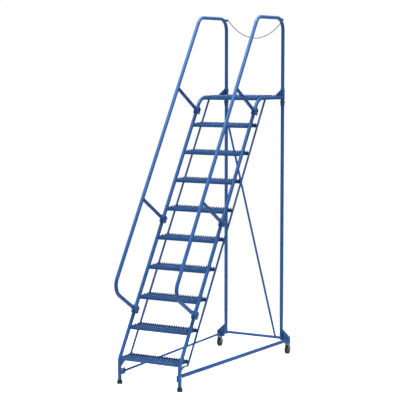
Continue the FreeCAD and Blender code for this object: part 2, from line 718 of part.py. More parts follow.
def loop_of_wire(centre, along, across, half_length, half_width, wire):
    """A welded link: a closed round bar round a slot shape in the plane of two directions."""
    straight = half_length - half_width
    right = centre + along * straight
    left = centre - along * straight
    upper = across * half_width
    edges = [Part.LineSegment(left + upper, right + upper).toShape(),
             Part.Arc(right + upper, right + along * half_width, right - upper).toShape(),
             Part.LineSegment(right - upper, left - upper).toShape(),
             Part.Arc(left - upper, left - along * half_width, left + upper).toShape()]
    path = Part.Wire(edges)
    ring = Part.Wire(Part.Circle(left + upper, along, wire).toShape())
    return path.makePipeShell([ring], True, False)


def link_frame(start, end):
    """A link's middle, its direction, and the direction square to it in the X-Z plane."""
    along = (end - start).normalize()
    return (start + end) / 2, along, Y_AXIS.cross(along)


def make_chain():
    """Welded links, each turned a quarter from the last, and the ring through the right tab."""
    length = 2 * catenary()[1]
    pitch = (length - HOOK_LENGTH - RING_LENGTH) / LINK_COUNT
    solids = []
    for number in range(LINK_COUNT):
        start = chain_point(HOOK_LENGTH + number * pitch)
        end = chain_point(HOOK_LENGTH + (number + 1) * pitch)
        middle, along, square = link_frame(start, end)
        across = square if number % 2 == 0 else Y_AXIS
        reach = (end - start).Length / 2 + LINK_WIRE + LINK_SLACK / 2
        solids.append(loop_of_wire(middle, along, across, reach, LINK_HALF_WIDTH, LINK_WIRE))
    start = chain_point(length - RING_LENGTH)
    end = chain_point(length)
    along = (end - start).normalize()
    near = start - along * (LINK_WIRE + LINK_SLACK)
    far = end + along * HOOK_HALF_WIDTH
    half = (far - near).Length / 2
    solids.append(loop_of_wire((near + far) / 2, along, Y_AXIS, half, HOOK_HALF_WIDTH, HOOK_WIRE))
    print("chain from rim to rim %.1f mm, link pitch %.2f mm" % (length, pitch))
    return Part.makeCompound(solids)


def hook_mark(distance, off=0.0):
    """A point of the hook's plane: along it from the left tab's rim, and to the back of it."""
    start = chain_point(0)
    along = (chain_point(HOOK_LENGTH) - start).normalize()
    return start + along * distance + Y_AXIS * off


def hook_square():
    """The direction square to the hook's plane."""
    return Y_AXIS.cross((hook_mark(1) - hook_mark(0)).normalize())


def hook_hinge():
    return hook_mark(HOOK_LENGTH - 3.2 * HOOK_EYE_RADIUS, HOOK_HALF_WIDTH)


def make_snap_hook():
    """A bent-wire hook: eye, neck, spine and bow, open on the side that its gate closes."""
    hinge = HOOK_LENGTH - 3.2 * HOOK_EYE_RADIUS
    eye = HOOK_LENGTH + HOOK_WIRE - HOOK_EYE_RADIUS
    neck = eye - HOOK_EYE_RADIUS
    edges = [Part.LineSegment(hook_mark(HOOK_NOSE, HOOK_HALF_WIDTH),
                              hook_mark(0, HOOK_HALF_WIDTH)).toShape(),
             Part.Arc(hook_mark(0, HOOK_HALF_WIDTH), hook_mark(-HOOK_HALF_WIDTH),
                      hook_mark(0, -HOOK_HALF_WIDTH)).toShape(),
             Part.LineSegment(hook_mark(0, -HOOK_HALF_WIDTH),
                              hook_mark(hinge, -HOOK_HALF_WIDTH)).toShape()]
    direction = hook_mark(0) - hook_mark(1)
    nose = hook_mark(HOOK_NOSE, HOOK_HALF_WIDTH)
    ring = Part.Wire(Part.Circle(nose, direction, HOOK_WIRE).toShape())
    pieces = [Part.Wire(edges).makePipeShell([ring], True, False)]
    for side in (-1, 1):
        corner = hook_mark(hinge, side * HOOK_HALF_WIDTH)
        pieces.append(rod(corner, hook_mark(neck), HOOK_WIRE))
        pieces.append(Part.makeSphere(HOOK_WIRE, corner))
    pieces.append(Part.makeTorus(HOOK_EYE_RADIUS, HOOK_WIRE, hook_mark(eye), hook_square()))
    lug = hook_square() * (GATE_WIRE + 1.6)
    pieces.append(rod(hook_hinge() - lug, hook_hinge() + lug, HOOK_WIRE))
    gate_space = hook_square() * (GATE_WIRE + 0.3)
    slot = rod(hook_hinge() - gate_space, hook_hinge() + gate_space, HOOK_WIRE + 0.5)
    pin = rod(hook_hinge() - lug, hook_hinge() + lug, GATE_PIN_RADIUS)
    body = pieces[0].multiFuse(pieces[1:]).cut(slot)
    return body.fuse(pin).removeSplitter()


def make_gate():
    """The sprung bar that closes the hook, with an eye round the hinge pin."""
    bar = rod(hook_mark(HOOK_NOSE + 0.2, HOOK_HALF_WIDTH), hook_hinge(), GATE_WIRE)
    half = hook_square() * (GATE_WIRE + 0.2)
    eye = rod(hook_hinge() - half, hook_hinge() + half, HOOK_WIRE)
    bore = rod(hook_hinge() - half * 2, hook_hinge() + half * 2, GATE_PIN_RADIUS + RUNNING_CLEARANCE)
    print("gate hinge", hook_hinge() - Y_AXIS * MIDDLE_Y, "axis", hook_square())
    return bar.fuse(eye).cut(bore)


def both_sides(solids):
    return Part.makeCompound(solids + [mirrored(solid) for solid in solids])


def main():
    os.makedirs("parts", exist_ok=True)
    tread = make_first_tread()
    for number in range(1, TREAD_COUNT + 1):
        save("tread_%d" % number, tread)
        tread.translate(Vector(0, STEP_RUN, STEP_RISE))
    save("platform_deck", make_platform())
    save_pair("stringer", make_stringer())
    save_pair("back_rail", make_back_rail())
    save_pair("handrail", make_handrail())
    save_pair("lower_brace", make_brace(LOWER_BRACE_Z))
    save_pair("upper_brace", make_brace(UPPER_BRACE_Z))
    save_pair("handrail_clamp", make_clamp(HANDRAIL_FOOT_Z))
    save_pair("lower_brace_clamp", make_clamp(LOWER_BRACE_Z))
    save_pair("upper_brace_clamp", make_clamp(UPPER_BRACE_Z))
    save_pair("rear_post", make_post())
    save_pair("corner_socket", make_socket())
    save_pair("platform_gusset", make_platform_gusset())
    save("rear_crossbar", make_crossbar())
    save("rear_diagonal", make_diagonal())
    save("right_base_rail", make_base_rail(RIGHT_BASE_RAIL_RADIUS, RIGHT_BASE_RAIL_FRONT_Z,
                                           RIGHT_BASE_RAIL_REAR_Z))
    save("left_base_rail", mirrored(make_base_rail(LEFT_BASE_RAIL_RADIUS, LEFT_BASE_RAIL_FRONT_Z,
                                                   LEFT_BASE_RAIL_REAR_Z)))
    save_pair("base_rail_tab", make_rail_tab())
    save_pair("foot_gusset", make_foot_gusset())
    save_pair("rubber_foot", make_rubber_foot())
    save_pair("caster_bracket", make_caster_bracket())
    save_pair("caster_fork", make_fork())
    save_pair("wheel_tyre", make_tyre())
    save_pair("wheel_hub", make_hub())
    save_pair("wheel_bush", make_bush())
    save_pair("axle_bolt", make_axle())
    save("clamp_fasteners", both_sides(clamp_fasteners()))
    save("frame_fasteners", both_sides(frame_fasteners()))
    save("chain_tabs", both_sides([make_chain_tab()]))
    save("safety_chain", make_chain())
    save("snap_hook", make_snap_hook())
    save("snap_gate", make_gate())
    print("depth %.1f mm, middle at %.2f mm" % (BACK_Y - FRONT_Y, MIDDLE_Y))


main()
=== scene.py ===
import math

import bmesh
import bpy
from mathutils import Matrix, Vector


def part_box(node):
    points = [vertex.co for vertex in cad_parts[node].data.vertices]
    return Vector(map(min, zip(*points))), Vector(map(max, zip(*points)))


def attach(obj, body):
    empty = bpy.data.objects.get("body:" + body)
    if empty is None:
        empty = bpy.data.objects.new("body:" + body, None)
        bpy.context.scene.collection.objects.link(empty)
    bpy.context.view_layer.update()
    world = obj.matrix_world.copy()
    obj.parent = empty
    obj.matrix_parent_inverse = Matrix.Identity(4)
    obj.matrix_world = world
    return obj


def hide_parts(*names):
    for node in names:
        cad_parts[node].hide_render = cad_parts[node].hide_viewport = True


# The looks of a rolling warehouse ladder: finely bent tubes with weld beads, serrated grating
# treads, bevelled plates, hex fasteners, a link chain, rubber feet and casters, in blue powder coat.
# All lengths are metres. +Z is up and -Y is the climber's side.

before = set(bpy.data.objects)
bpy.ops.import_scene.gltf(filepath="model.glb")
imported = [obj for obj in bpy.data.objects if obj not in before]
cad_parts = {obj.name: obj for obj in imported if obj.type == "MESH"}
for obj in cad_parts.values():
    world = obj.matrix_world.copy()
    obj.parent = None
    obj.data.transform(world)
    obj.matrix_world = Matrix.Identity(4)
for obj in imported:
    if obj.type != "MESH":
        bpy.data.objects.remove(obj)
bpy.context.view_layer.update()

X_AXIS = Vector((1, 0, 0))
Y_AXIS = Vector((0, 1, 0))
Z_AXIS = Vector((0, 0, 1))


def middle_of(node):
    low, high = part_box(node)
    return (low + high) / 2


# ---- driving dimensions ----
STEP_RISE = 0.254
STEP_RUN = 0.158
TREAD_COUNT = 9
TUBE_RADIUS = 0.0167
TUBE_WALL = 0.0034
SIDE_X = middle_of("right_rear_post").x
POST_Y = middle_of("right_rear_post").y
POST_DISTANCE = 2.0737
ORIGIN_Y = POST_Y - POST_DISTANCE   # where the stringers' axis line would meet the floor
TOP_BAR_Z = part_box("right_handrail")[1].z - TUBE_RADIUS
LEG_BEND_Z = 0.224
LEG_BEND_RADIUS = 0.100
SIDE_RAIL_Z = 2.520
SIDE_RAIL_BEND_RADIUS = 0.150
HANDRAIL_OFFSET = 0.4124
HANDRAIL_FOOT_Z = 0.635
HANDRAIL_BEND_RADIUS = 0.118
HANDRAIL_CLEARANCE = 0.00015        # between a handrail and the bore of its corner sleeve
LOWER_BRACE_Z = 1.410
UPPER_BRACE_Z = 2.403
BRACE_RADIUS = 0.0159
BRACE_HEAD = 0.7                    # where a brace ends inside the handrail, as a share of its radius
BACK_RAIL_RADIUS = 0.0095
BACK_RAIL_OFFSET = 0.1618
BACK_RAIL_FOOT = 0.5                # from its box's bottom up to its lower end, as a share of its radius
BACK_RAIL_HEAD = 0.2                # from its box's top down to its upper end, over the tube radius
CLAMP_WEB = 0.003
CLAMP_EAR = 0.004
CLAMP_REACH = 0.017
CLAMP_CLEARANCE = 0.0001
CLAMP_BOLT_SPREAD = 0.018
BOLT_RADIUS = 0.004
SOCKET_RADIUS = 0.0203
SOCKET_BOLT_LOW = 0.036             # the sleeve bolts' distances from the sleeve's lower
SOCKET_BOLT_HIGH = 0.024            # and upper ends
TAB_BOLT_Z = 0.127
CASTER_BOLT_SPREAD = 0.015
CASTER_BOLT_RISE = 0.005            # of the bolts' heads over the fork, through the bracket
CASTER_BOLT_GRIP = 0.0095
SHEET = 0.0025
TREAD_HEIGHT = 0.0445
TOOTH_HEIGHT = 0.012
STRUT_DEPTH = 0.015
STRUT_WIDTH = 0.0036
STRUT_EASE = 0.0012         # the most that a strut's top edges are cut back
STRUT_STEPS = 6             # rings from one bond to the next
STRUT_NOTCH = 0.10          # height of a strut in its notches and on its teeth, over the shoulder,
STRUT_TOOTH = 0.38          # as shares of the tooth height
BOND_RINGS = ((-0.0048, 0.0026, 0.20), (-0.0040, 0.0040, 0.95), (-0.0026, 0.0041, 1.0),
              (0.0, 0.0038, 0.70), (0.0024, 0.0036, 0.95), (0.0038, 0.0032, 0.85),
              (0.0048, 0.0020, 0.20))     # (along, half width, height share) of a raised bond
BOND_MIDDLE_WIDTH = BOND_RINGS[3][1]
DIAMOND_PITCH = 0.0247
DIAMOND_COLUMNS = 24
DIAMOND_LENGTH = 0.057
GRATING_EDGE = 0.004
GRATING_LAP = 0.001         # how far a flange's top return reaches into the struts' ends
LIP_WIDTH = 0.012
FLANGE_INNER_BEND = 0.0012
FLANGE_OUTER_BEND = 0.0036
END_PLATE = 0.003
END_PLATE_RISE = 0.008
END_PLATE_EASE = 0.0006
CROSSBAR_RADIUS = 0.01335
DIAGONAL_RADIUS = 0.010
DIAGONAL_TOP_Z = 2.335
DIAGONAL_FOOT_X = 0.247
BASE_RAIL_RADIUS = {"left": 0.01065, "right": 0.0167}
BASE_RAIL_WALL = 0.002
REAR_BEAD_SHARE = 0.6               # of a base rail's bead before its rear end, over the weld radius
BASE_RAIL_INSET = 0.0006            # how far a rail's front end lies behind its CAD box's front
TUBE_END_EASE = 0.3                 # over the wall
ROD_CHAMFER = 0.18                  # over the radius
WELD_RADIUS = 0.0024
WELD_RIPPLE = 0.14
WELD_POINTS = 48
CROSSBAR_REACH = 0.002              # how far its ends go past the CAD bar's, inside the posts
BEAD_STAND = 0.0006                 # of a short bead's middle over the back rail's surface
BEAD_FORWARD = 0.4                  # of a short bead before the rail's axis, over the rail's radius
BAR_BEAD_STAND = 0.001              # of the diagonal's bead over the crossbar's surface
SHORT_BEAD = ((-0.008, 0.5), (-0.004, 0.95), (0.0, 1.1), (0.004, 0.95),
              (0.008, 0.5))         # (along, share of the weld radius)
PLATE_EASE = 0.0008
FORK_EASE = 0.0007
TAB_EASE = 0.0005
HEAD_WIDTH = 3.2                    # a fastener's sizes, as multiples of the bolt's radius
HEAD_HEIGHT = 1.3
NUT_HEIGHT = 1.6
HEX_PLAIN_BASE = ((0.0, 1.0, 0.0),)     # (height share, size share, roundness) up a head or nut
HEX_CHAMFERED_BASE = ((0.0, 0.94, 1.0), (0.14, 1.0, 0.0))
HEX_TOP = ((0.82, 1.0, 0.0), (1.0, 0.93, 1.0))
THREAD_HEIGHT = 0.85
THREAD_RADIUS = 0.96
THREAD_WIRE = 0.07
THREAD_TURNS = 3
THREAD_STEPS = 16
FOOT_PROFILE = ((0.30, 0.0), (0.34, 0.0012), (0.40, 0.0012), (0.44, 0.0002), (0.54, 0.0006),
                (0.58, 0.0020), (0.64, 0.0022), (0.68, 0.0014), (0.92, 0.0030),
                (1.0, 0.0050))      # (height share, inset from the widest radius)
FOOT_EASE = 0.0025
FOOT_SOLE = 0.010
FOOT_MOUTH = 0.0010                 # flare of the cup's mouth, and the height share that it starts at
FOOT_MOUTH_START = 0.90
AXIS_GAP = 0.001                    # radius of the pinhole that a turned profile leaves at its axis
RIM_RADIUS = 0.033
TYRE_SHOULDER = 0.003
TYRE_CROWN = 0.0002
TYRE_FLAT = 0.6                     # half width of the crown, over the tyre's half width
TYRE_EASE = 0.0008
HUB_BORE = 0.00605
HUB_BOSS = 0.011
HUB_RECESS = 0.005
HUB_DRAFT = 0.0015
HUB_RIM = (0.004, 0.006)            # depth of the hub's rim at its face and at the web
HUB_EASE = 0.0005
SPOKE_COUNT = 6
SPOKE_SIZE = (0.004, 0.0022)        # depth along the axle and width
SPOKE_END = 0.005                   # from a spoke's outer end to the rim's outside
SPOKE_EASE = 0.0004
LINK_COUNT = 39
LINK_WIRE = 0.0016
LINK_HALF_WIDTH = 0.0048
LINK_SLACK = 0.0003
LINK_STEPS = 8                      # along each round end of a link
LINK_WELD_HALF = 0.0012
LINK_WELD_SHARE = 1.14
HOOK_LENGTH = 0.034
RING_LENGTH = 0.016
RING_WIRE = 0.0018
RING_HALF_WIDTH = 0.0065
CHAIN_SAG = 0.175
CHAIN_END = Vector((0.305, ORIGIN_Y + 2.0965, 3.271))

SLOPE = STEP_RUN / STEP_RISE
CLIMB_ANGLE = math.atan2(STEP_RISE, STEP_RUN)
UP_SLOPE = Vector((0, math.cos(CLIMB_ANGLE), math.sin(CLIMB_ANGLE)))
OFF_SLOPE = Vector((0, -math.sin(CLIMB_ANGLE), math.cos(CLIMB_ANGLE)))
LEG_Y = ORIGIN_Y + SLOPE * LEG_BEND_Z
WEB_FACE = TUBE_RADIUS + CLAMP_CLEARANCE + CLAMP_WEB
SIDES = (("left", -1), ("right", 1))

# ---- driving values of the looks ----
TONE = "tone"          # a vertex value: +1 for painted light (on the handrails' top bars also hand wear), -1 for painted shade
FULLY_WORN_AND_LIT = 0.9       # how far a tone of 1 takes the coat to its worn colour, as painted light
PAINTED_SHADE_SHARE = 0.28     # the painted shade's colour, as a share of the coat's dark colour
PAINTED_LIGHT_FRONT = 1.0     # painted-light tone of the bonds in the front half of a plank, and painted-shade tone in the back half
PAINTED_SHADE_BACK = -0.6
BOND_FLANK_SHADE = 0.9       # how much lower the tone is on the sides of a bond, behind its front tooth, as painted shade
STRUT_PAINTED_SHADE = (-0.8, -0.6)      # painted-shade tones of a strut's sides and top
PLATE_PAINTED_SHADE = -0.75    # painted-shade tone of a plank's end plates and of its flanges' inner edges
HAND_WEAR_AND_HIGHLIGHT = 0.75       # tone of the handrails' top bars, hand wear and painted highlight, and how far below them it fades away
HAND_WEAR_AND_HIGHLIGHT_DEPTH = 0.10
FLOOR_SIZE = 160.0
FLOOR_GLOW = 0.55
FLOOR_FADE = (1.4, 3.2)         # where the floor starts and ends to turn into the white surround
WORLD_LIGHT = 0.24
LIGHTS = (("overhead", (-1.0, -2.5, 18.0), 9.0, 4300.0),
          ("key", (-5.5, -8.5, 4.5), 3.0, 80.0),
          ("side", (8.5, -1.0, 1.2), 3.0, 110.0))       # (name, place, size, power)
LIGHT_AIM = Vector((0, 0, 1.6))
CAMERA_PLACE = Vector((6.5594, ORIGIN_Y - 10.1461, 2.831))
CAMERA_VIEW = Vector((-0.5041, 0.8583, -0.0954))
CAMERA_LENS = 126.5
CAMERA_SENSOR = 36.0


# ---- materials ----
def new_material(name):
    material = bpy.data.materials.new(name)
    material.use_nodes = True
    tree = material.node_tree
    shader = tree.nodes["Principled BSDF"]
    position = tree.nodes.new("ShaderNodeTexCoord").outputs["Object"]
    return material, tree, shader, position


def noise(tree, position, scale, detail=3.0, roughness=0.55):
    node = tree.nodes.new("ShaderNodeTexNoise")
    node.inputs["Scale"].default_value = scale
    node.inputs["Detail"].default_value = detail
    node.inputs["Roughness"].default_value = roughness
    tree.links.new(position, node.inputs["Vector"])
    return node.outputs["Fac"]


def ramp(tree, value, stops):
    """A colour ramp from (place, colour) stops."""
    node = tree.nodes.new("ShaderNodeValToRGB")
    elements = node.color_ramp.elements
    while len(elements) < len(stops):
        elements.new(1.0)
    for element, (place, colour) in zip(elements, stops):
        element.position = place
        element.color = (*colour, 1.0)
    tree.links.new(value, node.inputs["Fac"])
    return node.outputs["Color"]


def rescaled(tree, value, low, high, new_low, new_high):
    """A value moved from one range to another, and held inside the new one."""
    node = tree.nodes.new("ShaderNodeMapRange")
    settings = zip(("From Min", "From Max", "To Min", "To Max"), (low, high, new_low, new_high))
    for socket, setting in settings:
        node.inputs[socket].default_value = setting
    tree.links.new(value, node.inputs["Value"])
    return node.outputs["Result"]


def blended(tree, factor, first, second):
    """Mixes two colours, each a socket or a plain colour."""
    node = tree.nodes.new("ShaderNodeMix")
    node.data_type = "RGBA"
    tree.links.new(factor, node.inputs["Factor"])
    for socket, colour in ((node.inputs[6], first), (node.inputs[7], second)):
        if isinstance(colour, tuple):
            socket.default_value = (*colour, 1.0)
        else:
            tree.links.new(colour, socket)
    return node.outputs[2]


def edge_mask(tree, radius, low, high):
    """0 on flat surfaces, rising to 1 on edges: how far a rounded normal leans from the real one."""
    bevel = tree.nodes.new("ShaderNodeBevel")
    bevel.samples = 4
    bevel.inputs["Radius"].default_value = radius
    geometry = tree.nodes.new("ShaderNodeNewGeometry")
    dot = tree.nodes.new("ShaderNodeVectorMath")
    dot.operation = "DOT_PRODUCT"
    tree.links.new(bevel.outputs["Normal"], dot.inputs[0])
    tree.links.new(geometry.outputs["Normal"], dot.inputs[1])
    return rescaled(tree, dot.outputs["Value"], 1.0 - low, 1.0 - high, 0.0, 1.0)


def bumped(tree, shader, height, strength, distance):
    bump = tree.nodes.new("ShaderNodeBump")
    bump.inputs["Strength"].default_value = strength
    bump.inputs["Distance"].default_value = distance
    tree.links.new(height, bump.inputs["Height"])
    tree.links.new(bump.outputs["Normal"], shader.inputs["Normal"])


def drifting_roughness(tree, shader, position, scale, low, high):
    """Roughness that drifts between low and high over the surface."""
    drift = rescaled(tree, noise(tree, position, scale), 0.3, 0.7, low, high)
    tree.links.new(drift, shader.inputs["Roughness"])


def powder_coat(name, dark, light, worn_and_lit, gloss):
    """Semi-gloss powder coat: orange peel, slow colour drift, dust, lightly rubbed edges, and the
    painted light and painted shade that a mesh's tone asks for."""
    material, tree, shader, position = new_material(name)
    drift = noise(tree, position, 5.0, 4.0)
    colour = ramp(tree, drift, ((0.3, dark), (0.7, light)))
    dust = rescaled(tree, noise(tree, position, 38.0, 6.0, 0.7), 0.56, 0.78, 0.0, 0.16)
    colour = blended(tree, dust, colour, worn_and_lit)
    wear_and_painted_tone = tree.nodes.new("ShaderNodeMath")
    wear_and_painted_tone.operation = "MULTIPLY"
    patchy = rescaled(tree, noise(tree, position, 90.0), 0.42, 0.6, 0.0, 0.55)
    tree.links.new(edge_mask(tree, 0.0014, 0.04, 0.25), wear_and_painted_tone.inputs[0])
    tree.links.new(patchy, wear_and_painted_tone.inputs[1])
    colour = blended(tree, wear_and_painted_tone.outputs["Value"], colour, worn_and_lit)
    # a mesh's tone paints light (towards the worn colour) and paints shade (towards a dark navy)
    attribute = tree.nodes.new("ShaderNodeAttribute")
    attribute.attribute_name = TONE
    tone = attribute.outputs["Fac"]
    painted_shade = tuple(part * PAINTED_SHADE_SHARE for part in dark)
    colour = blended(tree, rescaled(tree, tone, 0.0, 1.0, 0.0, FULLY_WORN_AND_LIT), colour, worn_and_lit)
    colour = blended(tree, rescaled(tree, tone, 0.0, -1.0, 0.0, 1.0), colour, painted_shade)
    tree.links.new(colour, shader.inputs["Base Color"])
    drifting_roughness(tree, shader, position, 22.0, gloss, gloss + 0.14)
    shader.inputs["Specular IOR Level"].default_value = 0.35
    bumped(tree, shader, noise(tree, position, 650.0, 2.0), 0.16, 0.0004)
    return material


def zinc_plate(name, dark, light, roughness):
    """Zinc plate: small spangle, duller patches and a fine grain."""
    material, tree, shader, position = new_material(name)
    shader.inputs["Metallic"].default_value = 1.0
    spangle = tree.nodes.new("ShaderNodeTexVoronoi")
    spangle.inputs["Scale"].default_value = 420.0
    tree.links.new(position, spangle.inputs["Vector"])
    colour = ramp(tree, spangle.outputs["Distance"], ((0.1, light), (0.9, dark)))
    patches = rescaled(tree, noise(tree, position, 70.0, 5.0), 0.4, 0.7, 0.0, 0.6)
    colour = blended(tree, patches, colour, dark)
    tree.links.new(colour, shader.inputs["Base Color"])
    drifting_roughness(tree, shader, position, 160.0, roughness, roughness + 0.2)
    bumped(tree, shader, noise(tree, position, 1400.0, 2.0), 0.12, 0.0002)
    return material


def rubber(name, dark, light, dusty):
    """Moulded rubber with a fine skin, scuffed lighter on its edges and dusty in patches."""
    material, tree, shader, position = new_material(name)
    colour = ramp(tree, noise(tree, position, 60.0, 5.0), ((0.3, dark), (0.75, light)))
    scuffs = rescaled(tree, noise(tree, position, 240.0, 4.0), 0.5, 0.75, 0.0, 0.5)
    colour = blended(tree, scuffs, colour, dusty)
    colour = blended(tree, edge_mask(tree, 0.0016, 0.05, 0.5), colour, dusty)
    tree.links.new(colour, shader.inputs["Base Color"])
    drifting_roughness(tree, shader, position, 120.0, 0.6, 0.85)
    bumped(tree, shader, noise(tree, position, 1100.0, 3.0), 0.3, 0.0003)
    return material


def moulded_nylon(name, dark, light):
    """Moulded nylon with a fine satin skin and edges a little paler."""
    material, tree, shader, position = new_material(name)
    colour = ramp(tree, noise(tree, position, 90.0, 4.0), ((0.35, dark), (0.7, light)))
    colour = blended(tree, edge_mask(tree, 0.001, 0.05, 0.5), colour, light)
    tree.links.new(colour, shader.inputs["Base Color"])
    drifting_roughness(tree, shader, position, 200.0, 0.4, 0.6)
    bumped(tree, shader, noise(tree, position, 1600.0, 2.0), 0.2, 0.0002)
    return material


def studio_floor():
    """A pale floor that holds soft contact shadows and fades into the white surround."""
    material, tree, shader, position = new_material("floor_white")
    colour = ramp(tree, noise(tree, position, 0.8), ((0.3, (0.77,) * 3), (0.7, (0.80,) * 3)))
    tree.links.new(colour, shader.inputs["Base Color"])
    shader.inputs["Roughness"].default_value = 0.9
    shader.inputs["Specular IOR Level"].default_value = 0.0
    shader.inputs["Emission Color"].default_value = (1.0, 1.0, 1.0, 1.0)
    white = tree.nodes.new("ShaderNodeEmission")
    seen = tree.nodes.new("ShaderNodeLightPath").outputs["Is Camera Ray"]
    tree.links.new(rescaled(tree, seen, 0.0, 1.0, 0.0, FLOOR_GLOW),
                   shader.inputs["Emission Strength"])
    tree.links.new(rescaled(tree, seen, 0.0, 1.0, WORLD_LIGHT, 1.0), white.inputs["Strength"])
    distance = tree.nodes.new("ShaderNodeVectorMath")
    distance.operation = "LENGTH"
    tree.links.new(position, distance.inputs[0])
    fade = rescaled(tree, distance.outputs["Value"], *FLOOR_FADE, 0.0, 1.0)
    mix = tree.nodes.new("ShaderNodeMixShader")
    tree.links.new(fade, mix.inputs[0])
    tree.links.new(shader.outputs["BSDF"], mix.inputs[1])
    tree.links.new(white.outputs["Emission"], mix.inputs[2])
    tree.links.new(mix.outputs["Shader"], tree.nodes["Material Output"].inputs["Surface"])
    return material


BLUE = powder_coat("blue_powder_coat", (0.022, 0.108, 0.335), (0.030, 0.134, 0.395),
                   (0.105, 0.265, 0.630), 0.34)
BLACK_RUBBER = rubber("black_rubber", (0.006, 0.008, 0.012), (0.018, 0.020, 0.026),
                      (0.050, 0.052, 0.058))
TYRE_RUBBER = rubber("tyre_rubber", (0.022, 0.014, 0.016), (0.048, 0.032, 0.034),
                     (0.105, 0.078, 0.076))
NYLON = moulded_nylon("hub_nylon", (0.105, 0.108, 0.135), (0.175, 0.178, 0.210))
BRIGHT_ZINC = zinc_plate("bright_zinc", (0.42, 0.43, 0.44), (0.78, 0.79, 0.80), 0.25)
CHAIN_ZINC = zinc_plate("chain_zinc", (0.028, 0.025, 0.022), (0.085, 0.080, 0.070), 0.38)
FORK_ZINC = zinc_plate("fork_zinc", (0.13, 0.17, 0.27), (0.26, 0.32, 0.44), 0.32)


# ---- mesh helpers ----
def finish_piece(name, mesh, material, nodes, body="ladder", smooth_angle=32.0):
    """Turns a bmesh into a shaded object that rides on a body in place of CAD nodes."""
    bmesh.ops.recalc_face_normals(mesh, faces=mesh.faces)
    limit = math.radians(smooth_angle)
    for face in mesh.faces:
        face.smooth = True
    for edge in mesh.edges:
        edge.smooth = len(edge.link_faces) != 2 or edge.calc_face_angle(0.0) < limit
    data = bpy.data.meshes.new(name)
    mesh.to_mesh(data)
    mesh.free()
    data.materials.append(material)
    piece = bpy.data.objects.new(name, data)
    bpy.context.scene.collection.objects.link(piece)
    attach(piece, body)
    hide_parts(*nodes)
    return piece


def rounded_path(corners, radii, steps):
    """Points along straight runs joined by tangent arcs."""
    points = [corners[0]]
    for before, corner, after, radius in zip(corners, corners[1:], corners[2:], radii):
        toward = (before - corner).normalized()
        away = (after - corner).normalized()
        half_angle = toward.angle(away) / 2
        tangent = radius / math.tan(half_angle)
        centre = corner + (toward + away).normalized() * (radius / math.sin(half_angle))
        start = corner + toward * tangent - centre
        end = corner + away * tangent - centre
        turn = start.rotation_difference(end)
        for step in range(steps + 1):
            part = Matrix.Identity(3).to_quaternion().slerp(turn, step / steps)
            points.append(centre + part @ start)
    points.append(corners[-1])
    return points


def rounded_profile(outline, radius, steps):
    """A closed profile for a lathe, from (along, out) corners that are all rounded."""
    corners = [Vector((along, out, 0)) for along, out in outline]
    loop = [corners[-1]] + corners + [corners[0]]
    points = []
    for before, corner, after in zip(loop, loop[1:], loop[2:]):
        points += rounded_path([before, corner, after], [radius], steps)[1:-1]
    return [(point.x, point.y) for point in points]


def around(normal, across, count):
    """Unit vectors at equal turns, from one direction towards another and all the way round."""
    angles = [2 * math.pi * index / count for index in range(count)]
    return [normal * math.cos(angle) + across * math.sin(angle) for angle in angles]


def ring_faces(mesh, first, second):
    """A band of faces between two rings of vertices."""
    count = len(first)
    for index in range(count):
        after = (index + 1) % count
        mesh.faces.new((first[index], first[after], second[after], second[index]))


def sweep(mesh, path, radius, sides=24, closed=False):
    """A round bar along a path. radius is one number, or one for each point."""
    count = len(path)
    radii = radius if isinstance(radius, list) else [radius] * count
    rings = []
    normal = None
    previous = None
    for index, point in enumerate(path):
        before = path[index - 1] if closed or index > 0 else point
        after = path[(index + 1) % count] if closed or index < count - 1 else point
        tangent = (after - before).normalized()
        if normal is None:
            normal = tangent.orthogonal().normalized()
        else:
            normal = previous.rotation_difference(tangent) @ normal
        previous = tangent
        rings.append([mesh.verts.new(point + offset * radii[index])
                      for offset in around(normal, tangent.cross(normal), sides)])
    for first, second in zip(rings, rings[1:]):
        ring_faces(mesh, first, second)
    if closed:
        ring_faces(mesh, rings[-1], rings[0])
    else:
        mesh.faces.new(rings[0])
        mesh.faces.new(rings[-1])


def lathe(mesh, profile, origin, axis, segments=40):
    """Turns a closed profile of (distance along the axis, radius) points about an axis."""
    axis = axis.normalized()
    normal = axis.orthogonal().normalized()
    offsets = around(normal, axis.cross(normal), segments)
    rings = [[mesh.verts.new(origin + axis * along + offset * radius) for offset in offsets]
             for along, radius in profile]
    for first, second in zip(rings, rings[1:] + rings[:1]):
        ring_faces(mesh, first, second)


def open_tube(mesh, start, end, radius, wall, segments=32):
    """A straight tube with its bore open and its cut ends eased."""
    length = (end - start).length
    outline = [(0, radius - wall), (0, radius), (length, radius), (length, radius - wall)]
    profile = rounded_profile(outline, wall * TUBE_END_EASE, 2)
    lathe(mesh, profile, start, end - start, segments)


def rod(mesh, start, end, radius, sides=24):
    """A solid bar with chamfered ends."""
    along = (end - start).normalized()
    chamfer = radius * ROD_CHAMFER
    path = [start, start + along * chamfer, end - along * chamfer, end]
    sweep(mesh, path, [radius - chamfer, radius, radius, radius - chamfer], sides)


def weld_bead(mesh, points):
    """A closed, rippled weld bead through WELD_POINTS points."""
    radii = [WELD_RADIUS * (1.0 + WELD_RIPPLE * math.cos(math.pi * index))
             for index in range(WELD_POINTS)]
    sweep(mesh, points, radii, 8, closed=True)


def weld_ring(mesh, centre, along, main, radius, main_radius):
    """The bead where a bar running along meets a round main bar square to it."""
    across = along.cross(main).normalized()
    points = []
    for index in range(WELD_POINTS):
        angle = 2 * math.pi * index / WELD_POINTS
        sideways = radius * math.sin(angle)
        lift = math.sqrt(max(main_radius ** 2 - sideways ** 2, 0.0))
        points.append(centre + main * (radius * math.cos(angle)) + across * sideways + along * lift)
    weld_bead(mesh, points)


def flat_weld_ring(mesh, centre, axis, radius):
    """The bead round a bar that stands on a flat plate."""
    normal = axis.orthogonal().normalized()
    across = axis.cross(normal).normalized()
    weld_bead(mesh, [centre + offset * radius for offset in around(normal, across, WELD_POINTS)])


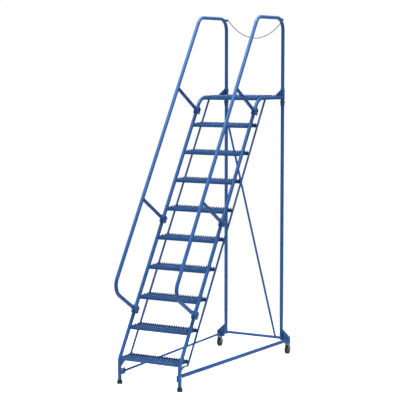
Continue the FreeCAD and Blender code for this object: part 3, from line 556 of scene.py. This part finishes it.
def eased_box(mesh, low, high, ease):
    """A box between two corners, its edges rounded."""
    made = bmesh.ops.create_cube(mesh, size=1.0)["verts"]
    size = high - low
    for vert in made:
        vert.co = Vector([low[k] + size[k] * (vert.co[k] + 0.5) for k in range(3)])
    edges = list({edge for vert in made for edge in vert.link_edges})
    bmesh.ops.bevel(mesh, geom=edges, offset=ease, segments=2, profile=0.5, affect="EDGES")


def extruded(mesh, outline, offset):
    """A solid from a closed outline pushed along a vector."""
    first = [mesh.verts.new(point) for point in outline]
    second = [mesh.verts.new(point + offset) for point in outline]
    ring_faces(mesh, first, second)
    mesh.faces.new(first)
    mesh.faces.new(second)


# ---- bent tubes and bars ----
def on_stringer(side, z):
    """The point of a stringer's axis at height z."""
    return Vector((side * SIDE_X, ORIGIN_Y + SLOPE * z, z))


def on_side(side, y, z):
    """A point in the plane of one side's stringer, handrail and post."""
    return Vector((side * SIDE_X, y, z))


def make_stringer(name, side):
    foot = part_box(name + "_stringer")[0].z
    corners = [on_side(side, LEG_Y, foot), on_side(side, LEG_Y, LEG_BEND_Z),
               on_stringer(side, SIDE_RAIL_Z), on_side(side, POST_Y - SOCKET_RADIUS, SIDE_RAIL_Z)]
    mesh = bmesh.new()
    sweep(mesh, rounded_path(corners, [LEG_BEND_RADIUS, SIDE_RAIL_BEND_RADIUS], 18), TUBE_RADIUS, 32)
    weld_ring(mesh, on_side(side, POST_Y, SIDE_RAIL_Z), -Y_AXIS, Z_AXIS, TUBE_RADIUS, SOCKET_RADIUS)
    finish_piece(name + "_stringer_tube", mesh, BLUE, [name + "_stringer"])


def handrail_corners(side):
    """The corners of a handrail's axis, from its clamp over the top bar to its corner sleeve."""
    foot = on_stringer(side, HANDRAIL_FOOT_Z)
    top_front = on_stringer(side, TOP_BAR_Z)
    top_front.y -= HANDRAIL_OFFSET / math.sin(CLIMB_ANGLE)
    return [foot + OFF_SLOPE * WEB_FACE, foot + OFF_SLOPE * HANDRAIL_OFFSET, top_front,
            on_side(side, POST_Y, TOP_BAR_Z), on_side(side, POST_Y, SIDE_RAIL_Z)]


def make_handrail(name, side):
    mesh = bmesh.new()
    tone = mesh.verts.layers.float.new(TONE)
    corners = handrail_corners(side)
    radius = TUBE_RADIUS - HANDRAIL_CLEARANCE
    sweep(mesh, rounded_path(corners, [HANDRAIL_BEND_RADIUS] * 3, 20), radius, 32)
    # the top bars and just below them are painted lighter: hand wear and painted highlight
    for vert in mesh.verts:
        share = (vert.co.z - TOP_BAR_Z) / HAND_WEAR_AND_HIGHLIGHT_DEPTH + 1.0
        vert[tone] = HAND_WEAR_AND_HIGHLIGHT * min(max(share, 0.0), 1.0)
    flat_weld_ring(mesh, corners[0], OFF_SLOPE, TUBE_RADIUS)
    finish_piece(name + "_handrail_tube", mesh, BLUE, [name + "_handrail"])


def make_brace(name, side, level, height):
    mesh = bmesh.new()
    foot = on_stringer(side, height) + OFF_SLOPE * WEB_FACE
    head = on_stringer(side, height) + OFF_SLOPE * HANDRAIL_OFFSET
    rod(mesh, foot, head - OFF_SLOPE * (TUBE_RADIUS * BRACE_HEAD), BRACE_RADIUS)
    flat_weld_ring(mesh, foot, OFF_SLOPE, BRACE_RADIUS)
    weld_ring(mesh, head, -OFF_SLOPE, UP_SLOPE, BRACE_RADIUS, TUBE_RADIUS)
    node = name + "_" + level + "_brace"
    finish_piece(node + "_tube", mesh, BLUE, [node])


def make_back_rail(name, side):
    """A back rail, with a short bead on its inner side at each tread."""
    low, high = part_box(name + "_back_rail")
    x = (low.x + high.x) / 2

    def at(z):
        return Vector((x, ORIGIN_Y + BACK_RAIL_OFFSET + SLOPE * z, z))

    mesh = bmesh.new()
    foot = at(low.z + BACK_RAIL_RADIUS * BACK_RAIL_FOOT)
    rod(mesh, foot, at(high.z - TUBE_RADIUS * BACK_RAIL_HEAD), BACK_RAIL_RADIUS)
    inward = -side * (BACK_RAIL_RADIUS + BEAD_STAND)
    bead_place = Vector((inward, -BACK_RAIL_RADIUS * BEAD_FORWARD, 0))
    for number in range(1, TREAD_COUNT + 1):
        centre = at(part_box("tread_%d" % number)[1].z - TREAD_HEIGHT / 2) + bead_place
        sweep(mesh, [centre + UP_SLOPE * along for along, _ in SHORT_BEAD],
              [WELD_RADIUS * share for _, share in SHORT_BEAD], 10)
    finish_piece(name + "_back_rail_rod", mesh, BLUE, [name + "_back_rail"])


def make_post(name, side):
    low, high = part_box(name + "_rear_post")
    mesh = bmesh.new()
    open_tube(mesh, on_side(side, POST_Y, low.z), on_side(side, POST_Y, high.z), TUBE_RADIUS, TUBE_WALL)
    finish_piece(name + "_rear_post_tube", mesh, BLUE, [name + "_rear_post"])


def make_socket(name, side):
    low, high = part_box(name + "_corner_socket")
    mesh = bmesh.new()
    wall = SOCKET_RADIUS - TUBE_RADIUS
    open_tube(mesh, on_side(side, POST_Y, low.z), on_side(side, POST_Y, high.z), SOCKET_RADIUS, wall, 40)
    finish_piece(name + "_corner_sleeve", mesh, BLUE, [name + "_corner_socket"])


def make_crossbar():
    low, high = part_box("rear_crossbar")
    height = (low.z + high.z) / 2
    mesh = bmesh.new()
    rod(mesh, Vector((low.x - CROSSBAR_REACH, POST_Y, height)),
        Vector((high.x + CROSSBAR_REACH, POST_Y, height)), CROSSBAR_RADIUS)
    for side in (-1, 1):
        weld_ring(mesh, on_side(side, POST_Y, height), -side * X_AXIS, Z_AXIS, CROSSBAR_RADIUS,
                  TUBE_RADIUS)
    finish_piece("rear_crossbar_tube", mesh, BLUE, ["rear_crossbar"])


def make_diagonal():
    top = Vector((-SIDE_X, POST_Y, DIAGONAL_TOP_Z))
    foot = Vector((DIAGONAL_FOOT_X, POST_Y, middle_of("rear_crossbar").z))
    along = (top - foot).normalized()
    mesh = bmesh.new()
    head = top - along * (2 * TUBE_RADIUS)
    rod(mesh, foot + along * CROSSBAR_RADIUS, head, DIAGONAL_RADIUS)
    flat_weld_ring(mesh, foot + along * (CROSSBAR_RADIUS + BAR_BEAD_STAND), along, DIAGONAL_RADIUS)
    finish_piece("rear_diagonal_tube", mesh, BLUE, ["rear_diagonal"])


def make_base_rail(name, side):
    low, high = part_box(name + "_base_rail")
    tab_low, tab_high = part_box(name + "_base_rail_tab")
    radius = BASE_RAIL_RADIUS[name]
    front = Vector(((tab_low.x + tab_high.x) / 2, low.y + BASE_RAIL_INSET, low.z + radius))
    rear = Vector((side * (max(abs(low.x), abs(high.x)) - radius), high.y, high.z - radius))
    mesh = bmesh.new()
    open_tube(mesh, front, rear, radius, BASE_RAIL_WALL)
    flat_weld_ring(mesh, rear - Y_AXIS * (WELD_RADIUS * REAR_BEAD_SHARE), Y_AXIS, radius)
    finish_piece(name + "_base_rail_tube", mesh, BLUE, [name + "_base_rail"])


# ---- grating ----
def grating_rings(mesh, rings):
    """A ridge through (x, y, half width, base, top, low tone, high tone) rings."""
    tone = mesh.verts.layers.float[TONE]
    made = []
    for x, y, half_width, base, top, low_tone, high_tone in rings:
        ease = min(STRUT_EASE, half_width / 2)
        section = ((-half_width, base, low_tone), (-half_width, top - ease, low_tone),
                   (-half_width + ease, top, high_tone), (half_width - ease, top, high_tone),
                   (half_width, top - ease, low_tone), (half_width, base, low_tone))
        ring = []
        for across, height, value in section:
            vert = mesh.verts.new((x + across, y, height))
            vert[tone] = value
            ring.append(vert)
        made.append(ring)
    for first, second in zip(made, made[1:]):
        ring_faces(mesh, first, second)
    mesh.faces.new(made[0])
    mesh.faces.new(made[-1])


def add_strut(mesh, column_x, lean, front, row_length, rows, shoulder, limit):
    """One zigzag strut of the grating, from edge to edge, its top cut into low teeth."""
    base = shoulder + TOOTH_HEIGHT - STRUT_DEPTH
    rings = []
    for sample in range(2 * rows * STRUT_STEPS + 1):
        phase = sample / STRUT_STEPS
        swing = 1.0 - abs(phase % 2.0 - 1.0)
        x = min(max(column_x + lean * swing * DIAMOND_PITCH / 2, -limit), limit)
        share = STRUT_TOOTH if sample % 2 else STRUT_NOTCH
        # the strut's sides and top carry painted shade
        rings.append((x, front + phase * row_length / 2, STRUT_WIDTH / 2, base,
                      shoulder + TOOTH_HEIGHT * share, *STRUT_PAINTED_SHADE))
    grating_rings(mesh, rings)


def add_bond(mesh, x, y, shoulder, front, back, wear_and_painted_tone):
    """The raised, double-toothed bond where two struts of the grating meet, as far as it lies
    between the plank's edges. Its front face takes the same painted tone as its top, and its flanks are
    painted darker, as shade."""
    base = shoulder + TOOTH_HEIGHT - STRUT_DEPTH
    front_face = BOND_RINGS[1][0]
    rings = []
    for along, half_width, share in BOND_RINGS:
        # the flanks behind the front tooth get painted shade
        flank = wear_and_painted_tone if along <= front_face else wear_and_painted_tone - BOND_FLANK_SHADE
        if front <= y + along <= back:
            top = shoulder + TOOTH_HEIGHT * share
            rings.append((x, y + along, half_width, base, top, flank, wear_and_painted_tone))
    grating_rings(mesh, rings)


def flange_outline(face, inward, bottom, shoulder, x):
    """The section of a bent flange: a short top return, the face and the bottom lip."""
    half = SHEET / 2
    centre = [Vector((x, face + inward * (GRATING_EDGE + GRATING_LAP), shoulder - half)),
              Vector((x, face + inward * half, shoulder - half)),
              Vector((x, face + inward * half, bottom + half)),
              Vector((x, face + inward * LIP_WIDTH, bottom + half))]
    skins = []
    for reach, bend in ((half, FLANGE_INNER_BEND), (-half, FLANGE_OUTER_BEND)):
        corners = [point + Vector((0, inward * reach, -reach if index < 2 else reach))
                   for index, point in enumerate(centre)]
        skin = rounded_path(corners, [bend, bend], 4)
        skin[0].y = centre[0].y
        skin[-1].y = centre[-1].y
        skins.append(skin)
    inner, outer = skins
    return outer + inner[::-1]


def make_grating(name, node):
    """A grating plank: two bent flanges, end plates and toothed struts round diamond openings."""
    low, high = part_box(node)
    half_width = high.x
    front = low.y
    back = high.y
    bottom = high.z - TREAD_HEIGHT
    shoulder = high.z - TOOTH_HEIGHT
    mesh = bmesh.new()
    tone = mesh.verts.layers.float.new(TONE)
    for face, inward in ((front, 1), (back, -1)):
        outline = flange_outline(face, inward, bottom, shoulder, -half_width)
        extruded(mesh, outline, X_AXIS * (2 * half_width))
    for side in (-1, 1):
        near = min(side * half_width, side * (half_width - END_PLATE))
        eased_box(mesh, Vector((near, front + SHEET, bottom + END_PLATE_RISE)),
                  Vector((near + END_PLATE, back - SHEET, shoulder)), END_PLATE_EASE)
    # painted shade on the end plates and the flanges' inner edges
    for vert in mesh.verts:
        if front + SHEET < vert.co.y < back - SHEET:
            vert[tone] = PLATE_PAINTED_SHADE
    inner = back - front - 2 * GRATING_EDGE
    rows = round(inner / DIAMOND_LENGTH)
    row_length = inner / rows
    strut_front = front + GRATING_EDGE
    limit = half_width - END_PLATE
    for column in range(DIAMOND_COLUMNS):
        column_x = (column - (DIAMOND_COLUMNS - 1) / 2) * DIAMOND_PITCH
        for lean in (-1, 1):
            add_strut(mesh, column_x, lean, strut_front, row_length, rows, shoulder, limit)
    bond_limit = limit - BOND_MIDDLE_WIDTH
    for half_row in range(2 * rows + 1):
        count = DIAMOND_COLUMNS + half_row % 2
        y = strut_front + half_row * row_length / 2
        # painted light on the bonds of the front half, painted shade on those of the back half
        wear_and_painted_tone = PAINTED_LIGHT_FRONT if half_row < rows else PAINTED_SHADE_BACK
        for column in range(count):
            x = (column - (count - 1) / 2) * DIAMOND_PITCH
            if abs(x) < bond_limit:
                add_bond(mesh, x, y, shoulder, strut_front, back - GRATING_EDGE, wear_and_painted_tone)
    finish_piece(name, mesh, BLUE, [node], smooth_angle=40.0)


def make_treads():
    for number in range(1, TREAD_COUNT + 1):
        make_grating("grating_tread_%d" % number, "tread_%d" % number)
    make_grating("grating_platform", "platform_deck")


# ---- plates and brackets ----
def eased_copy(node, material, ease):
    """The CAD piece with its faces cleaned up and its edges rounded over."""
    mesh = bmesh.new()
    mesh.from_mesh(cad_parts[node].data)
    bmesh.ops.remove_doubles(mesh, verts=mesh.verts, dist=1e-6)
    bmesh.ops.dissolve_limit(mesh, angle_limit=math.radians(1.0), verts=mesh.verts, edges=mesh.edges)
    piece = finish_piece(node + "_eased", mesh, material, [node])
    bevel = piece.modifiers.new("eased_edges", "BEVEL")
    bevel.width = ease
    bevel.segments = 2
    bevel.limit_method = "ANGLE"
    bevel.angle_limit = math.radians(40.0)
    bevel.harden_normals = True


def make_plates():
    for name, _ in SIDES:
        for kind in ("handrail_clamp", "lower_brace_clamp", "upper_brace_clamp", "base_rail_tab",
                     "foot_gusset", "platform_gusset", "caster_bracket"):
            eased_copy(name + "_" + kind, BLUE, PLATE_EASE)
        eased_copy(name + "_caster_fork", FORK_ZINC, FORK_EASE)
    eased_copy("chain_tabs", BLUE, TAB_EASE)


# ---- fasteners ----
def hexagon_ring(mesh, centre, axis, normal, radius, roundness):
    """Twelve points round a hexagon: its corners, drawn in towards a circle, and its flats."""
    flat = radius * math.cos(math.pi / 6)
    corner = radius + (flat - radius) * roundness
    return [mesh.verts.new(centre + offset * (flat if index % 2 else corner))
            for index, offset in enumerate(around(normal, axis.cross(normal), 12))]


def hex_body(mesh, base, axis, across_flats, height, chamfer_base):
    """A hex head or nut with chamfered corners."""
    axis = axis.normalized()
    normal = axis.orthogonal().normalized()
    corner = across_flats / 2 / math.cos(math.pi / 6)
    foot = HEX_CHAMFERED_BASE if chamfer_base else HEX_PLAIN_BASE
    rings = [hexagon_ring(mesh, base + axis * (height * level), axis, normal, corner * size,
                          roundness) for level, size, roundness in foot + HEX_TOP]
    for first, second in zip(rings, rings[1:]):
        ring_faces(mesh, first, second)
    mesh.faces.new(rings[0])
    mesh.faces.new(rings[-1])


def bolt_and_nut(mesh, head_point, axis, grip):
    """A chamfered hex bolt whose head sits on head_point, with its nut past the grip."""
    axis = axis.normalized()
    across_flats = HEAD_WIDTH * BOLT_RADIUS
    hex_body(mesh, head_point, -axis, across_flats, HEAD_HEIGHT * BOLT_RADIUS, False)
    nut_height = NUT_HEIGHT * BOLT_RADIUS
    seat = head_point + axis * grip
    hex_body(mesh, seat, axis, across_flats, nut_height, True)
    start = seat + axis * nut_height
    rod(mesh, head_point, start + axis * BOLT_RADIUS, BOLT_RADIUS, THREAD_STEPS)
    normal = axis.orthogonal().normalized()
    across = axis.cross(normal)
    thread = []
    count = THREAD_TURNS * THREAD_STEPS
    for index in range(count + 1):
        angle = 2 * math.pi * THREAD_TURNS * index / count
        offset = normal * math.cos(angle) + across * math.sin(angle)
        rise = BOLT_RADIUS * THREAD_HEIGHT * index / count
        thread.append(start + axis * rise + offset * (BOLT_RADIUS * THREAD_RADIUS))
    sweep(mesh, thread, BOLT_RADIUS * THREAD_WIRE, 5)


def make_clamp_fasteners():
    mesh = bmesh.new()
    ear_face = TUBE_RADIUS + CLAMP_CLEARANCE + CLAMP_EAR
    back = TUBE_RADIUS + CLAMP_REACH / 2
    for _, side in SIDES:
        for height in (HANDRAIL_FOOT_Z, LOWER_BRACE_Z, UPPER_BRACE_Z):
            behind = on_stringer(side, height) - OFF_SLOPE * back
            for spread in (-CLAMP_BOLT_SPREAD, CLAMP_BOLT_SPREAD):
                point = behind + UP_SLOPE * spread
                bolt_and_nut(mesh, point + X_AXIS * (side * ear_face), -side * X_AXIS, 2 * ear_face)
    finish_piece("clamp_bolts_and_nuts", mesh, BRIGHT_ZINC, ["clamp_fasteners"])


def make_frame_fasteners():
    mesh = bmesh.new()
    for name, side in SIDES:
        low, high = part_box(name + "_corner_socket")
        for height in (low.z + SOCKET_BOLT_LOW, high.z - SOCKET_BOLT_HIGH):
            head = on_side(side, POST_Y, height) + X_AXIS * (side * SOCKET_RADIUS)
            bolt_and_nut(mesh, head, -side * X_AXIS, 2 * SOCKET_RADIUS)
        tab_low, tab_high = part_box(name + "_base_rail_tab")
        inner = min(abs(tab_low.x), abs(tab_high.x))
        outer = SIDE_X + TUBE_RADIUS
        head = Vector((side * outer, LEG_Y, TAB_BOLT_Z))
        bolt_and_nut(mesh, head, -side * X_AXIS, outer - inner)
        wheel_x = middle_of(name + "_wheel_tyre").x
        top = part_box(name + "_caster_fork")[1].z + CASTER_BOLT_RISE
        for offset in (-CASTER_BOLT_SPREAD, CASTER_BOLT_SPREAD):
            bolt_and_nut(mesh, Vector((wheel_x, POST_Y + offset, top)), -Z_AXIS, CASTER_BOLT_GRIP)
    finish_piece("frame_bolts_and_nuts", mesh, BRIGHT_ZINC, ["frame_fasteners"])


def make_axles():
    for name, side in SIDES:
        fork_low, fork_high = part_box(name + "_caster_fork")
        wheel = middle_of(name + "_wheel_tyre")
        outer = max(abs(fork_low.x), abs(fork_high.x))
        mesh = bmesh.new()
        head = Vector((side * outer, wheel.y, wheel.z))
        bolt_and_nut(mesh, head, -side * X_AXIS, fork_high.x - fork_low.x)
        finish_piece(name + "_axle_and_nut", mesh, BRIGHT_ZINC, [name + "_axle_bolt"])


# ---- feet and wheels ----
def make_feet():
    """Rubber cups with a grooved skirt, each round a leg's end."""
    for name, side in SIDES:
        low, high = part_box(name + "_rubber_foot")
        radius = (high.x - low.x) / 2
        height = high.z
        sole = [(0.0, AXIS_GAP), (0.0, radius - FOOT_EASE), (FOOT_EASE, radius)]
        outside = [(height * share, radius - inset) for share, inset in FOOT_PROFILE]
        cup = [(height, TUBE_RADIUS + FOOT_MOUTH), (height * FOOT_MOUTH_START, TUBE_RADIUS),
               (FOOT_SOLE, TUBE_RADIUS), (FOOT_SOLE, AXIS_GAP)]
        mesh = bmesh.new()
        lathe(mesh, sole + outside + cup, on_side(side, LEG_Y, 0.0), Z_AXIS, 48)
        finish_piece(name + "_foot_cup", mesh, BLACK_RUBBER, [name + "_rubber_foot"], smooth_angle=50.0)


def make_wheels():
    for name, _ in SIDES:
        low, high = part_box(name + "_wheel_tyre")
        centre = (low + high) / 2
        radius = (high.z - low.z) / 2
        half = (high.x - low.x) / 2
        shoulder = radius - TYRE_SHOULDER
        crown = radius - TYRE_CROWN
        flat = half * TYRE_FLAT
        outline = [(-half, RIM_RADIUS), (-half, shoulder), (-flat, crown), (0, radius),
                   (flat, crown), (half, shoulder), (half, RIM_RADIUS)]
        mesh = bmesh.new()
        lathe(mesh, rounded_profile(outline, TYRE_EASE, 3), centre, X_AXIS, 72)
        body = name + "_wheel"
        finish_piece(name + "_tyre_ring", mesh, TYRE_RUBBER, [name + "_wheel_tyre"], body, 60.0)
        make_hub(name, centre, half, body)


def make_hub(name, centre, half, body):
    """A moulded wheel centre: boss, recessed web, rim and radial ribs on each face."""
    recess = half - HUB_RECESS
    rim_face, rim_web = (RIM_RADIUS - depth for depth in HUB_RIM)
    face = [(-half, HUB_BORE), (-half, HUB_BOSS), (-recess, HUB_BOSS + HUB_DRAFT),
            (-recess, rim_web), (-half, rim_face), (-half, RIM_RADIUS)]
    outline = face + [(-along, out) for along, out in reversed(face)]
    mesh = bmesh.new()
    lathe(mesh, rounded_profile(outline, HUB_EASE, 2), centre, X_AXIS, 64)
    depth, width = SPOKE_SIZE
    for spoke in range(SPOKE_COUNT):
        turn = Matrix.Rotation(2 * math.pi * spoke / SPOKE_COUNT, 3, "X")
        for side in (-1, 1):
            near = min(side * recess, side * (recess + depth))
            part = bmesh.new()
            eased_box(part, Vector((near, -width / 2, HUB_BOSS)),
                      Vector((near + depth, width / 2, RIM_RADIUS - SPOKE_END)), SPOKE_EASE)
            bmesh.ops.transform(part, matrix=turn.to_4x4(), verts=part.verts)
            bmesh.ops.translate(part, vec=centre, verts=part.verts)
            data = bpy.data.meshes.new("spoke")
            part.to_mesh(data)
            part.free()
            mesh.from_mesh(data)
            bpy.data.meshes.remove(data)
    finish_piece(name + "_hub_moulding", mesh, NYLON, [name + "_wheel_hub"], body)


# ---- chain ----
def catenary():
    """The scale of the hanging curve with the chain's span and sag, and half its length."""
    low = 0.001
    high = 100.0
    span = CHAIN_END.x
    for _ in range(80):
        scale = (low + high) / 2
        if scale * (math.cosh(min(span / scale, 700.0)) - 1) > CHAIN_SAG:
            low = scale
        else:
            high = scale
    return scale, scale * math.sinh(span / scale)


def chain_point(distance):
    """The place on the curve that far along it from its left end."""
    scale, half_length = catenary()
    x = scale * math.asinh((distance - half_length) / scale)
    return Vector((x, CHAIN_END.y, CHAIN_END.z - CHAIN_SAG + scale * (math.cosh(x / scale) - 1)))


def add_link(mesh, middle, along, across, half_length, half_width, wire):
    """A welded link: a closed bar round a slot, a little thicker at its weld."""
    straight = half_length - half_width
    points = []
    radii = []
    for end in (1, -1):
        for step in range(LINK_STEPS + 1):
            angle = math.pi * step / LINK_STEPS
            forward = along * (end * (straight + half_width * math.sin(angle)))
            points.append(middle + forward + across * (end * half_width * math.cos(angle)))
            radii.append(wire)
        weld = middle - across * (end * half_width)
        swell = LINK_WELD_SHARE if end == 1 else 1.0
        for offset, size in ((LINK_WELD_HALF, 1.0), (0.0, swell), (-LINK_WELD_HALF, 1.0)):
            points.append(weld + along * (end * offset))
            radii.append(wire * size)
    sweep(mesh, points, radii, 12, closed=True)


def make_chain():
    """The chain's links, from the snap hook on the left to the ring on the right."""
    length = 2 * catenary()[1]
    pitch = (length - HOOK_LENGTH - RING_LENGTH) / LINK_COUNT
    mesh = bmesh.new()
    for number in range(LINK_COUNT):
        start = chain_point(HOOK_LENGTH + number * pitch)
        end = chain_point(HOOK_LENGTH + (number + 1) * pitch)
        along = (end - start).normalized()
        across = Y_AXIS.cross(along) if number % 2 == 0 else Y_AXIS
        reach = (end - start).length / 2 + LINK_WIRE + LINK_SLACK / 2
        add_link(mesh, (start + end) / 2, along, across, reach, LINK_HALF_WIDTH, LINK_WIRE)
    start = chain_point(length - RING_LENGTH)
    end = chain_point(length)
    along = (end - start).normalized()
    near = start - along * (LINK_WIRE + LINK_SLACK)
    far = end + along * RING_HALF_WIDTH
    add_link(mesh, (near + far) / 2, along, Y_AXIS, (far - near).length / 2, RING_HALF_WIDTH, RING_WIRE)
    finish_piece("chain_links", mesh, CHAIN_ZINC, ["safety_chain"], "chain", 60.0)


# ---- CAD pieces that keep their shape ----
def dress_cad_nodes():
    coats = {"snap_hook": CHAIN_ZINC, "snap_gate": CHAIN_ZINC, "left_wheel_bush": BRIGHT_ZINC,
             "right_wheel_bush": BRIGHT_ZINC}
    for node, material in coats.items():
        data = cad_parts[node].data
        data.materials.clear()
        data.materials.append(material)


# ---- studio ----
def make_studio():
    bpy.ops.mesh.primitive_plane_add(size=FLOOR_SIZE)
    floor = bpy.context.object
    floor.name = "studio_floor"
    floor.data.materials.append(studio_floor())

    world = bpy.data.worlds.new("studio")
    bpy.context.scene.world = world
    world.use_nodes = True
    tree = world.node_tree
    background = tree.nodes["Background"]
    background.inputs["Color"].default_value = (1.0, 1.0, 1.0, 1.0)
    seen = tree.nodes.new("ShaderNodeLightPath").outputs["Is Camera Ray"]
    tree.links.new(rescaled(tree, seen, 0.0, 1.0, WORLD_LIGHT, 1.0), background.inputs["Strength"])

    for name, place, size, power in LIGHTS:
        light = bpy.data.lights.new(name, "AREA")
        light.shape = "DISK"
        light.size = size
        light.energy = power
        lamp = bpy.data.objects.new(name, light)
        bpy.context.scene.collection.objects.link(lamp)
        lamp.location = place
        aim = LIGHT_AIM - Vector(place)
        lamp.rotation_euler = aim.to_track_quat("-Z", "Y").to_euler()


def make_camera():
    data = bpy.data.cameras.new("view")
    data.sensor_width = CAMERA_SENSOR
    data.lens = CAMERA_LENS
    camera = bpy.data.objects.new("view", data)
    bpy.context.scene.collection.objects.link(camera)
    camera.location = CAMERA_PLACE
    camera.rotation_euler = CAMERA_VIEW.to_track_quat("-Z", "Y").to_euler()
    bpy.context.scene.camera = camera


make_camera()
make_studio()
for side_name, side_sign in SIDES:
    make_stringer(side_name, side_sign)
    make_handrail(side_name, side_sign)
    make_brace(side_name, side_sign, "lower", LOWER_BRACE_Z)
    make_brace(side_name, side_sign, "upper", UPPER_BRACE_Z)
    make_back_rail(side_name, side_sign)
    make_post(side_name, side_sign)
    make_socket(side_name, side_sign)
    make_base_rail(side_name, side_sign)
make_crossbar()
make_diagonal()
make_treads()
make_plates()
make_clamp_fasteners()
make_frame_fasteners()
make_axles()
make_feet()
make_wheels()
make_chain()
dress_cad_nodes()
bpy.context.scene.view_settings.view_transform = "Standard"

bpy.context.view_layer.update()
